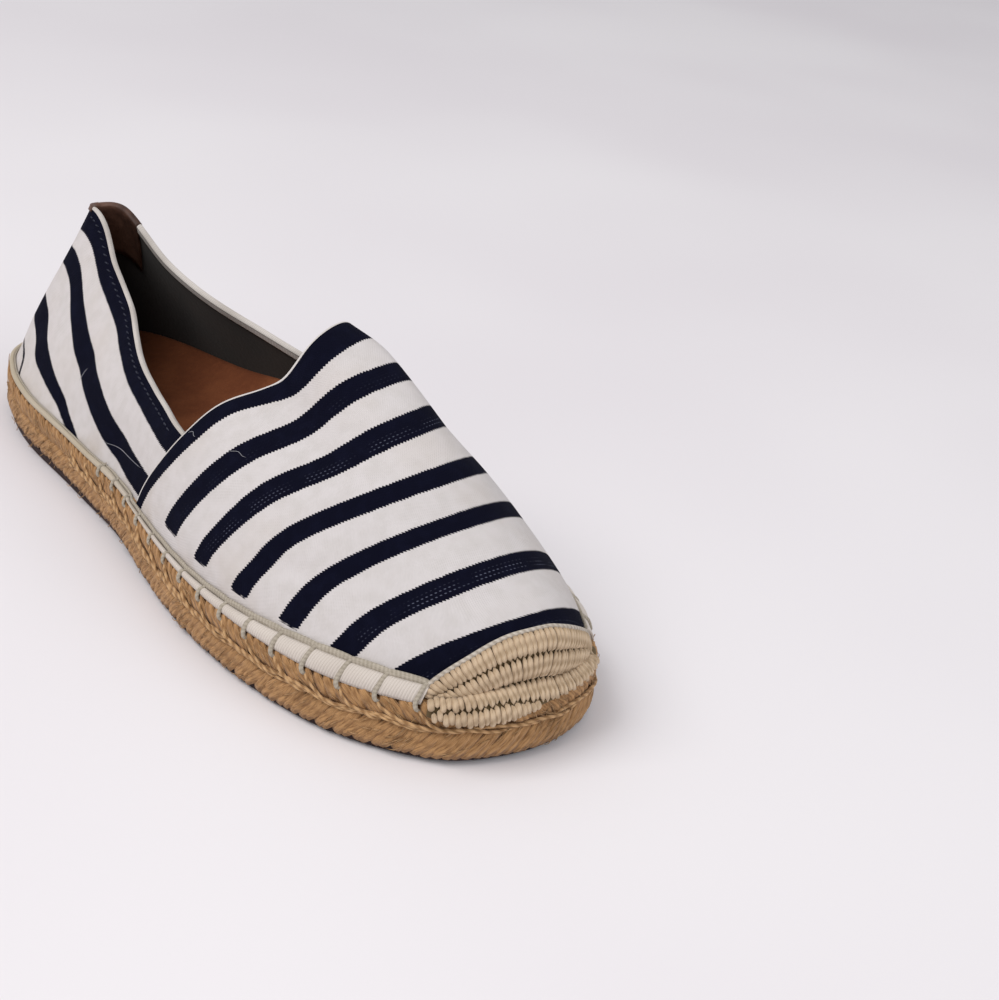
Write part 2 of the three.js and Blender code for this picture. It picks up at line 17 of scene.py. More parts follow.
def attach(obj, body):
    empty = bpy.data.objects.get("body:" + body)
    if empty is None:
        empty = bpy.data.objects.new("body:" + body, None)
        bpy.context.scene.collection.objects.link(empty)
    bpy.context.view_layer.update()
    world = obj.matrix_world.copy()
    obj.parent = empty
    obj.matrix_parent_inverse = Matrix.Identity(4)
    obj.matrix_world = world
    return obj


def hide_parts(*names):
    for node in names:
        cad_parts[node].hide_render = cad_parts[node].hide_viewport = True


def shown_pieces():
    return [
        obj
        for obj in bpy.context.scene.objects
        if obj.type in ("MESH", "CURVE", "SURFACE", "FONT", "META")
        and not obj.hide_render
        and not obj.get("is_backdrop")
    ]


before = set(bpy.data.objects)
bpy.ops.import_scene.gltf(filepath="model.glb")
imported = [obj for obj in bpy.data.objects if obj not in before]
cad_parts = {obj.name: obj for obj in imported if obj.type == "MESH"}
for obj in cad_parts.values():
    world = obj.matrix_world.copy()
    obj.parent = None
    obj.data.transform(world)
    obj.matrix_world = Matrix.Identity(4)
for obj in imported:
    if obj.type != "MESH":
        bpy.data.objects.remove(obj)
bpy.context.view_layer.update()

log = logging.getLogger("espadrille")
Array = np.ndarray
Table = dict[str, tuple[float, ...]]
Colour = tuple[float, float, float, float]
METRES = 0.001
TINY = 1e-6

SOLE_LENGTH = 258.0
BALL_WIDTH = 96.0
INSTEP_HEIGHT = 82.0
HEEL_HEIGHT = 72.0
RUBBER_THICKNESS = 3.0
JUTE_HEIGHT = 14.0
SEAT_GAP = 0.3
TOE_SPRING = 1.0
ARCH_LIFT = 1.2
LEDGE_WIDTH = 4.0
QUARTER_STEP = 0.9
QUARTER_WALL = 1.0
VAMP_WALL = 2.0
TOPLINE_ALONG = 0.492
CAP_ALONG = 0.93
TAPE_GAP = 0.45
TOE_POLE = 0.986
TOE_ROUNDING = 0.062
HEEL_POLE = 0.12
HEEL_ROUNDING = 0.0155
# Half of the way over the foot, for the creases, and how quickly a crease fades towards its end.
HALF_GIRTH = 80.0
CREASE_FADE = 1.5
# A depth inside a stripe that stands for plain cloth.
UNDYED = -9.0
# How a cord narrows to its tips, as a share beside the tip and as the tip's own radius.
TIP_SHARE = 0.8
TIP_RADIUS = 0.02
# How square a laid strand's ends are, how thin its very tip is, and how much its copies differ in size.
END_POWER = 4
TIP_LEAST = 0.003
SIZES = (0.88, 1.1)
# What the small differences of each piece start from.
PLAIN_SEED = 1
SEEDS = {
    "lower_strands": 3, "upper_strands": 5, "pulled_threads": 7, "crochet_stitches": 11, "fibre_places": 19,
    "loose_fibres": 23, "cord_wander": 31, "binding_cords": 37,
}

# The sole's widest line: each side as a share of the ball width.
OUTLINE: Table = {
    "along": (0.0, 0.03, 0.085, 0.17, 0.3, 0.42, 0.54, 0.65, 0.75, 0.85, 0.925, 0.975, 1.0),
    "lateral": (0.0, 0.205, 0.298, 0.358, 0.379, 0.406, 0.464, 0.502, 0.497, 0.444, 0.342, 0.216, 0.0),
    "medial": (0.0, 0.18, 0.26, 0.309, 0.317, 0.329, 0.389, 0.469, 0.485, 0.443, 0.36, 0.255, 0.052),
}
UNDERSIDE: Table = {
    "along": (0.0, 0.34, 0.46, 0.58, 0.76, 0.88, 1.0),
    "arch": (0, 0, 1, 0, 0, 0, 0),
    "spring": (0, 0, 0, 0, 0, 0.25, 1),
}
# Ridge height as a share of the instep height, and its offset as a share of the ball width.
RIDGE: Table = {
    "along": (0.0, 0.12, 0.3, 0.42, 0.5, 0.6, 0.7, 0.8, 0.86, 1.0),
    "height": (1.23, 1.065, 0.916, 0.97, 1.0, 0.957, 0.843, 0.693, 0.575, 0.373),
    "offset": (0, 0, 0.01, 0.02, 0.031, 0.042, 0.052, 0.052, 0.047, 0.042),
}
WALL: Table = {
    "along": (0.0, 0.15, 0.35, 0.5, 0.65, 0.8, 1.0),
    "bulge": (0.031, -0.005, 0.017, 0.045, 0.044, 0.012, 0.001),
    "rise": (0.228, 0.183, 0.237, 0.25, 0.218, 0.104, 0.03),
    "reach": (0.27, 0.1, 0.29, 0.41, 0.51, 0.55, 0.51),
}
SWEEP: Table = {
    "along": (0.0, 0.2, 0.45, 0.65, 0.8, 0.92, 1.0),
    "back": (0.084, 0.082, 0.099, 0.136, 0.073, 0.047, 0.036),
}
COLLAR: Table = {
    "along": (0.0, 0.06, 0.14, 0.24, 0.36, 0.5),
    "height": (0.99, 1.0, 0.84, 0.744, 0.673, 0.615),
}
# How much higher the worn collar stands than the plain one, in millimetres, on each side of the foot.
COLLAR_LIFT: Table = {
    "along": (0.0, 0.05, 0.11, 0.18, 0.27, 0.36, 0.44, 0.52),
    "outer": (0.0, 0.5, 1.4, 1.4, -0.3, -1.6, -1.0, 0.0),
    "inner": (0.0, 0.0, 0.4, 1.2, 2.4, 3.6, 4.4, 4.4),
}
# Where each navy stripe of the vamp starts and ends along the foot, at six places across it, from the cloth's
# outer foot over the ridge to its inner foot. The first one's end is measured before the top line drifts.
ACROSS = (0.0, 0.25, 0.5, 1.0, 1.5, 2.0)
VAMP_STRIPES: tuple[tuple[tuple[float, ...], tuple[float, ...]], ...] = (
    ((0.30, 0.30, 0.30, 0.30, 0.30, 0.30), (0.506, 0.510, 0.512, 0.519, 0.512, 0.506)),
    ((0.562, 0.560, 0.549, 0.540, 0.537, 0.545), (0.595, 0.589, 0.575, 0.560, 0.559, 0.570)),
    ((0.640, 0.628, 0.604, 0.588, 0.582, 0.600), (0.665, 0.654, 0.632, 0.612, 0.606, 0.626)),
    ((0.712, 0.696, 0.667, 0.647, 0.647, 0.665), (0.739, 0.722, 0.693, 0.671, 0.674, 0.690)),
    ((0.783, 0.769, 0.744, 0.717, 0.728, 0.740), (0.808, 0.796, 0.774, 0.755, 0.761, 0.770)),
    ((0.844, 0.837, 0.824, 0.818, 0.826, 0.835), (0.870, 0.865, 0.854, 0.850, 0.857, 0.865)),
    ((0.898, 0.901, 0.903, 0.914, 0.918, 0.905), (0.932, 0.938, 0.942, 0.962, 0.957, 0.940)),
)
# Which stripes show rows of light flecks, and how strongly.
FLECKED = {1: 0.12, 2: 0.8, 5: 1.0, 6: 0.5}
# How far each navy band of the quarter starts and ends below the collar.
BAND_ALONG = (0.0, 0.1, 0.2, 0.3, 0.5)
QUARTER_BANDS: tuple[tuple[tuple[float, ...], tuple[float, ...]], ...] = (
    ((-1.0, -1.0, -1.0, -1.0, -1.0), (9.6, 8.0, 7.9, 7.8, 8.6)),
    ((15.8, 15.5, 18.7, 18.8, 19.0), (22.8, 22.7, 26.7, 27.0, 27.2)),
    ((35.5, 36.8, 37.4, 36.6, 40.0), (45.4, 46.0, 42.6, 39.8, 40.0)),
    ((57.0, 54.8, 60.0, 60.0, 60.0), (57.0, 56.4, 60.0, 60.0, 60.0)),
)


@dataclass(frozen=True)
class Crease:
    """A soft trough or ridge in the cloth between two places.

    Args:
        start: Where it starts, as (along, across), across from 0 at the outer foot to 2 at the inner foot.
        end: Where it ends and has faded.
        width: How wide it is to each side, in millimetres.
        depth: How deep it is at the start, below 0 for a ridge.
    """

    start: tuple[float, float]
    end: tuple[float, float]
    width: float
    depth: float


CREASES = (
    Crease((0.480, 0.62), (0.66, 0.68), 9.0, 5.4),
    Crease((0.525, 1.15), (0.61, 1.18), 9.0, -2.4),
    Crease((0.480, 0.84), (0.60, 0.86), 8.0, -1.4),
    Crease((0.480, 0.36), (0.62, 0.36), 9.0, -1.0),
    Crease((0.700, 0.30), (0.80, 0.62), 5.0, 0.7),
    Crease((0.620, 1.40), (0.72, 1.55), 7.0, 1.2),
    Crease((0.860, 0.70), (0.90, 1.25), 4.0, 0.6),
    Crease((0.240, 0.10), (0.20, 0.60), 6.0, 0.8),
    Crease((0.100, 0.10), (0.08, 0.50), 5.0, 0.7),
    Crease((0.400, 0.05), (0.36, 0.50), 6.0, 0.8),
)
# How far the cloth spreads over the jute's top at its foot, and how quickly that fades going up.
FLARE: Table = {"along": (0.0, 0.45, 0.55, 0.65, 0.72, 1.0), "out": (2.1, 2.0, 1.3, 0.6, 0.2, 0.0)}
FLARE_FADE = 3.2
# How far the vamp's top line drifts towards the toe, from the outer foot over the ridge to the inner foot.
DRIFT: Table = {
    "along": (0.0, 0.2, 0.36, 0.5, 0.6, 0.68, 0.75, 0.85, 0.95, 1.1, 1.3, 1.6, 2.0),
    "drift": (-0.004, 0.005, 0.006, -0.002, 0.001, 0.008, 0.008, 0.002, -0.005, -0.009, -0.010, -0.004, 0.0),
}


def smooth(table: Table, along: Array, column: str) -> Array:
    """Reads a table along a smooth curve through its rows.

    Args:
        table: The table, with its places under "along".
        along: Where to read.
        column: Which column.

    Returns:
        The values there.
    """
    places = np.array(table["along"], float)
    values = np.array(table[column], float)
    slopes = np.empty(len(places))
    slopes[1:-1] = (values[2:] - values[:-2]) / (places[2:] - places[:-2])
    slopes[0] = (values[1] - values[0]) / (places[1] - places[0])
    slopes[-1] = (values[-1] - values[-2]) / (places[-1] - places[-2])
    along = np.clip(along, places[0], places[-1])
    i = np.clip(np.searchsorted(places, along, side="right") - 1, 0, len(places) - 2)
    width = places[i + 1] - places[i]
    t = (along - places[i]) / width
    start = values[i] * (2 * t**3 - 3 * t**2 + 1) + slopes[i] * width * (t**3 - 2 * t**2 + t)
    return start + values[i + 1] * (3 * t**2 - 2 * t**3) + slopes[i + 1] * width * (t**3 - t**2)


def mix(a: Array, b: Array, share: Array) -> Array:
    """Goes from a to b by a share."""
    return a + (b - a) * share


def unit(vectors: Array) -> Array:
    """Scales vectors to a length of 1."""
    return vectors / np.maximum(np.linalg.norm(vectors, axis=-1, keepdims=True), 1e-9)


def ramp(values: Array, low: Array | float, high: Array | float) -> Array:
    """Goes evenly from 0 at low to 1 at high."""
    return np.clip((values - low) / (high - low), 0, 1)


def level(flat: Array) -> Array:
    """Turns flat directions into level ones in space."""
    return np.concatenate([flat, np.zeros((*flat.shape[:-1], 1))], axis=-1)


def lengths(points: Array, axis: int = 0) -> Array:
    """Measures how far along each point lies, from 0 at the first of its row.

    Args:
        points: The points.
        axis: The way that is measured.

    Returns:
        The lengths, one for each point.
    """
    steps = np.linalg.norm(np.diff(points, axis=axis), axis=-1)
    start = np.zeros_like(steps.take([0], axis=axis))
    return np.concatenate([start, np.cumsum(steps, axis=axis)], axis=axis)


def softened(values: Array, rounds: int, axis: int = 0, weight: Array | float = 1.0) -> Array:
    """Evens out values along one axis and holds both ends.

    Args:
        values: The values.
        rounds: How often.
        axis: The way that is evened out.
        weight: How strongly, from 0 to 1.

    Returns:
        The softer values.
    """
    values = np.moveaxis(values, axis, 0).copy()
    inner_weight = np.broadcast_to(weight, values.shape)[1:-1]
    for _ in range(rounds):
        softer = (values[:-2] + 2 * values[1:-1] + values[2:]) / 4
        values[1:-1] = mix(values[1:-1], softer, inner_weight)
    return np.moveaxis(values, 0, axis)


def both(share: Array, rise: Array) -> list[Array]:
    """Brings two sets of places to one shape."""
    return np.broadcast_arrays(np.asarray(share, float), np.asarray(rise, float))


class Last:
    """The form that the shoe is made on.

    Share goes round the foot from the heel by the outer side, the toe and the inner side. Rise goes from
    the sole at 0 to the ridge at 1.
    """

    STEP = 0.001
    SAMPLES = 40
    FOOT_SAMPLES = 1200
    HALVINGS = 22

    def __init__(self) -> None:
        """Lays out the closed outline and the tables of the foot's stations."""
        widest = max(OUTLINE["medial"]) - max(OUTLINE["lateral"])
        self.middle = widest / 2 * BALL_WIDTH
        points = self._catmull(self._corners())
        self.points = np.vstack([points, points[:1]])
        self.runs = lengths(self.points)
        self.length = float(self.runs[-1])
        self.half = np.linspace(0, 0.5, self.FOOT_SAMPLES)
        self.lateral_along = self.foot_along(self.half)
        self.medial_along = self.foot_along(1 - self.half)

    def _corners(self) -> Array:
        """Returns the outline's own points."""
        along = np.array(OUTLINE["along"])
        y = SOLE_LENGTH * (0.5 - along)
        lateral = -np.array(OUTLINE["lateral"]) * BALL_WIDTH - self.middle
        medial = np.array(OUTLINE["medial"]) * BALL_WIDTH - self.middle
        heel = [(-self.middle, y[0])]
        toe = [(medial[-1], y[-1])]
        outer = list(zip(lateral[1:-1], y[1:-1]))
        inner = list(zip(medial[-2:0:-1], y[-2:0:-1]))
        return np.array(heel + outer + toe + inner)

    def _catmull(self, corners: Array) -> Array:
        """Runs a closed centripetal curve through the corners."""
        before, after, beyond = (np.roll(corners, steps, 0) for steps in (1, -1, -2))
        gaps = [np.linalg.norm(b - a, axis=1, keepdims=True) ** 0.5
                for a, b in ((before, corners), (corners, after), (after, beyond))]
        near = (corners - before) / gaps[0] - (after - before) / (gaps[0] + gaps[1])
        start = (near + (after - corners) / gaps[1]) * gaps[1]
        far = (after - corners) / gaps[1] - (beyond - corners) / (gaps[1] + gaps[2])
        end = (far + (beyond - after) / gaps[2]) * gaps[1]
        w = (np.arange(self.SAMPLES) / self.SAMPLES)[None, :, None]
        a, b = corners[:, None], after[:, None]
        s, e = start[:, None], end[:, None]
        curve = a + s * w + (3 * b - 3 * a - 2 * s - e) * w**2 + (2 * a - 2 * b + s + e) * w**3
        return curve.reshape(-1, 2)

    @staticmethod
    def along(y: Array) -> Array:
        """Gives how far along the sole a place lies."""
        return 0.5 - y / SOLE_LENGTH

    @staticmethod
    def y_of(along: Array) -> Array:
        """Gives the place for a share of the sole's length."""
        return SOLE_LENGTH * (0.5 - along)

    def outline(self, share: Array, inset: Array | float) -> tuple[Array, Array]:
        """Finds points on the outline.

        Args:
            share: How far round.
            inset: How far inside the widest line.

        Returns:
            The points and the directions outward, both flat.
        """
        run = (np.asarray(share, float) % 1.0) * self.length

        def at(place: Array) -> Array:
            """Finds the points a length round the outline."""
            place = place % self.length
            return np.stack([np.interp(place, self.runs, self.points[:, k]) for k in (0, 1)], -1)

        tangent = unit(at(run + 1) - at(run - 1))
        outward = np.stack([tangent[..., 1], -tangent[..., 0]], -1)
        return at(run) - outward * np.asarray(inset, float)[..., None], outward

    @staticmethod
    def underside(along: Array) -> Array:
        """Gives how high the underside stands."""
        lift = ARCH_LIFT * smooth(UNDERSIDE, along, "arch") + TOE_SPRING * smooth(UNDERSIDE, along, "spring")
        return np.maximum(lift, 0)

    def seat(self, along: Array) -> Array:
        """Gives the height where the upper starts."""
        return RUBBER_THICKNESS + JUTE_HEIGHT + SEAT_GAP + self.underside(along)

    def _ridge_along(self, foot_y: Array) -> Array:
        """Finds where on the ridge a station ends."""
        lean = SOLE_LENGTH * smooth(SWEEP, self.along(foot_y), "back")
        toe, heel = self.y_of(TOE_POLE), self.y_of(HEEL_POLE)

        def soft(distance: Array, share: float) -> Array:
            """Lets a distance fade to nothing instead of stopping at once."""
            return 0.5 * (distance + np.hypot(distance, share * SOLE_LENGTH))

        beyond = soft(self.y_of(1) - SOLE_LENGTH * SWEEP["back"][-1] - toe, TOE_ROUNDING)
        front = toe + soft(foot_y - lean - toe, TOE_ROUNDING) - beyond
        return self.along(heel - soft(heel - front, HEEL_ROUNDING))

    def point(self, share: Array, rise: Array) -> Array:
        """Finds points on the outer face, without creases."""
        share, rise = both(share, rise)
        foot, outward = self.outline(share, LEDGE_WIDTH)
        along = self.along(foot[..., 1])
        top = self._ridge_along(foot[..., 1])
        ridge = INSTEP_HEIGHT * smooth(RIDGE, top, "height")
        ridge_x = BALL_WIDTH * smooth(RIDGE, top, "offset") - self.middle
        low = (1 - rise) ** 3
        handle = 3 * rise * (1 - rise) ** 2
        high = 3 * rise**2 * (1 - rise)
        end = rise**3
        inward = high * (1 - smooth(WALL, along, "reach")) + end
        bulge = handle * BALL_WIDTH * smooth(WALL, along, "bulge")
        seat = self.seat(along)
        raised = seat + INSTEP_HEIGHT * smooth(WALL, along, "rise")
        height = low * seat + handle * raised + (high + end) * ridge
        back = inward * (2 - inward)
        x = mix(foot[..., 0], ridge_x, inward) + outward[..., 0] * bulge
        y = mix(foot[..., 1], self.y_of(top), back) + outward[..., 1] * bulge
        return np.stack([x, y, height], -1)

    def normal(self, share: Array, rise: Array) -> Array:
        """Finds the directions outward on the outer face."""
        share, rise = both(share, rise)
        around = self.point(share + self.STEP, rise) - self.point(share - self.STEP, rise)
        above = self.point(share, np.minimum(rise + self.STEP, 1))
        below = self.point(share, np.maximum(rise - self.STEP, 0))
        return unit(np.cross(around, above - below))

    def sunk(self, share: Array, rise: Array) -> Array:
        """Gives how far the creases sink the cloth."""
        share, rise = both(share, rise)
        across = np.where(share % 1.0 <= 0.5, rise, 2 - rise)
        place = np.stack([self.foot_along(share) * SOLE_LENGTH, across * HALF_GIRTH], -1)
        depth = np.zeros(share.shape)
        for crease in CREASES:
            ends = np.array([crease.start, crease.end]) * (SOLE_LENGTH, HALF_GIRTH)
            line = ends[1] - ends[0]
            t = np.clip(((place - ends[0]) @ line) / (line @ line), 0, 1)
            distance = np.linalg.norm(place - ends[0] - t[..., None] * line, axis=-1)
            depth += crease.depth * (1 - t**CREASE_FADE) * np.exp(-((distance / crease.width) ** 2))
        return depth

    def skin(self, share: Array, rise: Array, distance: Array = 0.0) -> Array:
        """Finds points at a distance outside the creased cloth."""
        point = self.point(share, rise)
        along = self.foot_along(share)
        above = np.maximum(point[..., 2] - self.seat(along), 0)
        flare = smooth(FLARE, along, "out") * np.exp(-above / FLARE_FADE)
        return point + self.normal(share, rise) * (distance + flare - self.sunk(share, rise))[..., None]

    def foot_share(self, lateral: bool, along: Array) -> Array:
        """Finds the share of the outline on one side for a place along the foot of the upper."""
        if lateral:
            return np.interp(along, self.lateral_along, self.half)
        return np.interp(along, self.medial_along, 1 - self.half)

    def foot_along(self, share: Array) -> Array:
        """Gives how far along the sole a station starts."""
        return self.along(self.outline(share, LEDGE_WIDTH)[0][..., 1])

    def over(self, along: Array, across: Array) -> tuple[Array, Array]:
        """Finds share and rise of places over the foot, from 0 at the outer foot to 2 at the inner foot."""
        share = np.where(across <= 1, self.foot_share(True, along), self.foot_share(False, along))
        return share, np.where(across <= 1, across, 2 - across)

    def beside(self, share: Array, inset: Array | float, height: Array | float) -> tuple[Array, Array]:
        """Finds points at the side of the sole.

        Args:
            share: How far round.
            inset: How far inside the widest line.
            height: How high above the underside.

        Returns:
            The points and the directions outward.
        """
        point, out = self.outline(share, inset)
        up = height + self.underside(self.along(point[..., 1]))
        return np.concatenate([point, up[..., None]], axis=-1), level(out)

    def rise_at(self, share: Array, height: Array) -> Array:
        """Finds how far up its station the wall reaches a height above the floor."""
        share, height = both(share, height)
        low, high = np.zeros(share.shape), np.ones(share.shape)
        for _ in range(self.HALVINGS):
            middle = (low + high) / 2
            below = self.point(share, middle)[..., 2] < height
            low, high = np.where(below, middle, low), np.where(below, high, middle)
        return (low + high) / 2

    def collar_rise(self, share: Array) -> Array:
        """Finds how far up its station the collar lies."""
        along = self.foot_along(share)
        outer = smooth(COLLAR_LIFT, along, "outer")
        inner = smooth(COLLAR_LIFT, along, "inner")
        lift = np.where(np.mod(share, 1) < 0.5, outer, inner)
        return self.rise_at(share, HEEL_HEIGHT * smooth(COLLAR, along, "height") + lift)


LAST = Last()


class Slot(Enum):
    """The record's material slots that the dressed pieces are named with; no piece is given its slot."""

    JUTE = "jute"
    INSOLE = "insole"
    CANVAS = "canvas"
    CROCHET = "crochet"
    TAPE = "tape"
    LEATHER = "tab_leather"


def select_only(piece: bpy.types.Object) -> None:
    """Selects one piece and makes it active."""
    bpy.ops.object.select_all(action="DESELECT")
    piece.select_set(True)
    bpy.context.view_layer.objects.active = piece


def weld(piece: bpy.types.Object) -> None:
    """Merges the points of a piece that lie on one another."""
    select_only(piece)
    bpy.ops.object.mode_set(mode="EDIT")
    bpy.ops.mesh.select_all(action="SELECT")
    bpy.ops.mesh.remove_doubles(threshold=TINY)
    bpy.ops.object.mode_set(mode="OBJECT")


@dataclass
class Lattice:
    """A grid primitive whose points are moved onto the shoe.

    Args:
        name: The piece's name.
        columns: Faces along the grid's first way.
        rows: Faces along its second way.
    """

    name: str
    columns: int
    rows: int

    def __post_init__(self) -> None:
        """Adds the primitive and keeps each point's shares of both ways."""
        bpy.ops.object.select_all(action="DESELECT")
        bpy.ops.mesh.primitive_grid_add(x_subdivisions=self.columns, y_subdivisions=self.rows, size=2)
        self.piece = bpy.context.active_object
        self.piece.name = self.piece.data.name = self.name
        flat = np.empty(len(self.piece.data.vertices) * 3, np.float32)
        self.piece.data.vertices.foreach_get("co", flat)
        self.u = (flat[0::3].astype(float) + 1) / 2
        self.v = (flat[1::3].astype(float) + 1) / 2
        self.column = np.rint(self.u * self.columns).astype(int)
        self.shape = (len(np.unique(np.round(self.v, 6))), len(np.unique(np.round(self.u, 6))))

    def place(self, points: Array) -> "Lattice":
        """Moves the points, given in millimetres."""
        self.piece.data.vertices.foreach_set("co", (points * METRES).astype(np.float32).ravel())
        self.piece.data.update()
        return self

    def paint(self, **values: Array) -> "Lattice":
        """Stores values that the finishes read, by name."""
        paint_corners(self.piece.data, values)
        return self

    def close(self) -> "Lattice":
        """Merges the points that meet where the grid comes round."""
        weld(self.piece)
        return self

    def thicken(self, thickness: float, *materials: bpy.types.Material) -> "Lattice":
        """Gives the cloth its thickness, inward.

        Args:
            thickness: How thick it is.
            materials: The finish of its face and then of its back, where they are given here.

        Returns:
            The lattice itself.
        """
        for material in materials:
            self.piece.data.materials.append(material)
        select_only(self.piece)
        solidify = self.piece.modifiers.new("wall", "SOLIDIFY")
        solidify.thickness = thickness * METRES
        solidify.offset = -1
        solidify.material_offset = max(len(materials) - 1, 0)
        bpy.ops.object.modifier_apply(modifier=solidify.name)
        return self


def paint_corners(mesh: bpy.types.Mesh, values: dict[str, Array]) -> None:
    """Stores a value for each face corner, so that a seam keeps both of its sides.

    Args:
        mesh: The mesh.
        values: One value for each point, by name.
    """
    corner_points = np.empty(len(mesh.loops), np.int32)
    mesh.loops.foreach_get("vertex_index", corner_points)
    for name, value in values.items():
        layer = mesh.attributes.new(name, "FLOAT", "CORNER")
        layer.data.foreach_set("value", np.asarray(value, np.float32).ravel()[corner_points])


def across_path(path: Array, outward: Array) -> tuple[Array, Array]:
    """Gives the two directions square to a path.

    Args:
        path: Points along the path, with the path's way second to last.
        outward: Directions away from what the path lies on.

    Returns:
        The direction to the side and the direction out.
    """
    forward = unit(np.gradient(path, axis=-2))
    side = unit(np.cross(forward, outward))
    return side, unit(np.cross(side, forward))


def tube(name: str, path: Array, outward: Array, radius: float | Array, sides: int = 8, flat: float = 1.0,
         tapered: bool = True) -> bpy.types.Object:
    """Sweeps a cord along a path.

    Args:
        name: The piece's name.
        path: The points of its centre line.
        outward: Directions away from what it lies on, one for each point.
        radius: Its radius, or one for each point.
        sides: How many faces go round it.
        flat: Its thickness as a share of its width.
        tapered: Whether its ends close to a tip.

    Returns:
        The cord, painted with "run" along it and "turn" round it.
    """
    grid = Lattice(name, len(path) - 1, sides)
    station = grid.column
    side, out = across_path(path, outward)
    angle = math.tau * grid.v[:, None]
    size = np.full(len(path), radius, dtype=float)
    if tapered:
        size[[1, -2]] *= TIP_SHARE
        size[[0, -1]] = TIP_RADIUS
    ring = side[station] * np.sin(angle) - out[station] * np.cos(angle) * flat
    grid.place(path[station] + ring * size[station][:, None]).paint(run=lengths(path)[station], turn=grid.v)
    return grid.close().piece


def laid(name: str, paths: Array, outward: Array, width: float, thick: float,
         sides: int = 6) -> bpy.types.Object:
    """Models one short strand and lays a copy along each path.

    Args:
        name: The piece's name.
        paths: For each copy the points of its centre line.
        outward: For each point the direction away from what it lies on.
        width: Half of its width.
        thick: Half of its thickness.
        sides: How many faces go round it.

    Returns:
        All the copies as one piece, painted with "run", "turn" and "shade".
    """
    copies, stations = paths.shape[:2]
    master = Lattice(name, stations - 1, sides)
    station = master.column
    angle = math.tau * master.v
    from_middle = 2 * np.arange(stations) / (stations - 1) - 1
    body = np.sqrt(np.clip(1 - from_middle**END_POWER, TIP_LEAST, 1))[station]
    side, out = across_path(paths, outward)
    rng = np.random.default_rng(SEEDS.get(name, PLAIN_SEED))
    sizes = rng.uniform(*SIZES, copies)[:, None, None]
    ring = (side[:, station] * (np.sin(angle) * width * body)[None, :, None]
            - out[:, station] * (np.cos(angle) * thick * body)[None, :, None])
    points = (paths[:, station] + ring * sizes).reshape(-1, 3)
    faces = np.array([tuple(face.vertices) for face in master.piece.data.polygons])
    count = len(master.u)
    every = (faces[None] + (np.arange(copies) * count)[:, None, None]).reshape(-1, 4)
    bpy.data.objects.remove(master.piece)
    mesh = bpy.data.meshes.new(name)
    mesh.from_pydata((points * METRES).tolist(), [], every.tolist())
    paint_corners(mesh, {
        "run": lengths(paths, 1)[:, station],
        "turn": np.tile(master.v, copies),
        "shade": np.repeat(rng.uniform(0, 1, copies), count),
    })
    piece = bpy.data.objects.new(name, mesh)
    bpy.context.collection.objects.link(piece)
    weld(piece)
    return piece


def dress(piece: bpy.types.Object, slot: Slot, *materials: bpy.types.Material,
          replaces: tuple[str, ...] = ()) -> bpy.types.Object:
    """Gives a piece its finishes and ties it to the shoe.

    Args:
        piece: The piece.
        slot: Which of the record's material slots it belongs to; not used.
        materials: Its finishes, one for each material index.
        replaces: The nodes that it stands for.

    Returns:
        The piece.
    """
    for material in materials:
        piece.data.materials.append(material)
    piece.data.shade_smooth()
    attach(piece, "root")
    if replaces:
        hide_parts(*replaces)
    log.info("%s: %d faces", piece.name, len(piece.data.polygons))
    return piece


Number = "Value | float"


class Value:
    """A shader's value, whose operators add Math nodes."""

    def __init__(self, graph: "Graph", socket: bpy.types.NodeSocket) -> None:
        """Wraps a socket."""
        self.graph = graph
        self.socket = socket

    def _math(self, operation: str, first: Number, second: Number = 0.0) -> "Value":
        """Adds a Math node."""
        return self.graph.add("Math", {"operation": operation}, {0: first, 1: second})

    def __add__(self, other: Number) -> "Value":
        """Adds."""
        return self._math("ADD", self, other)

    def __sub__(self, other: Number) -> "Value":
        """Takes away."""
        return self._math("SUBTRACT", self, other)

    def __rsub__(self, other: Number) -> "Value":
        """Is taken away."""
        return self._math("SUBTRACT", other, self)

    def __mul__(self, other: Number) -> "Value":
        """Multiplies."""
        return self._math("MULTIPLY", self, other)

    def sine(self) -> "Value":
        """Gives the sine."""
        return self._math("SINE", self)

    def absolute(self) -> "Value":
        """Gives the size without its sign."""
        return self._math("ABSOLUTE", self)

    def wave(self, period: float) -> "Value":
        """Gives a wave from 0 to 1 with straight flanks."""
        return self._math("PINGPONG", self, period / 2) * (2 / period)

    def step(self, low: float, high: float) -> "Value":
        """Goes softly from 0 at low to 1 at high."""
        settings = {"interpolation_type": "SMOOTHSTEP"}
        return self.graph.add("MapRange", settings, {"Value": self, "From Min": low, "From Max": high})


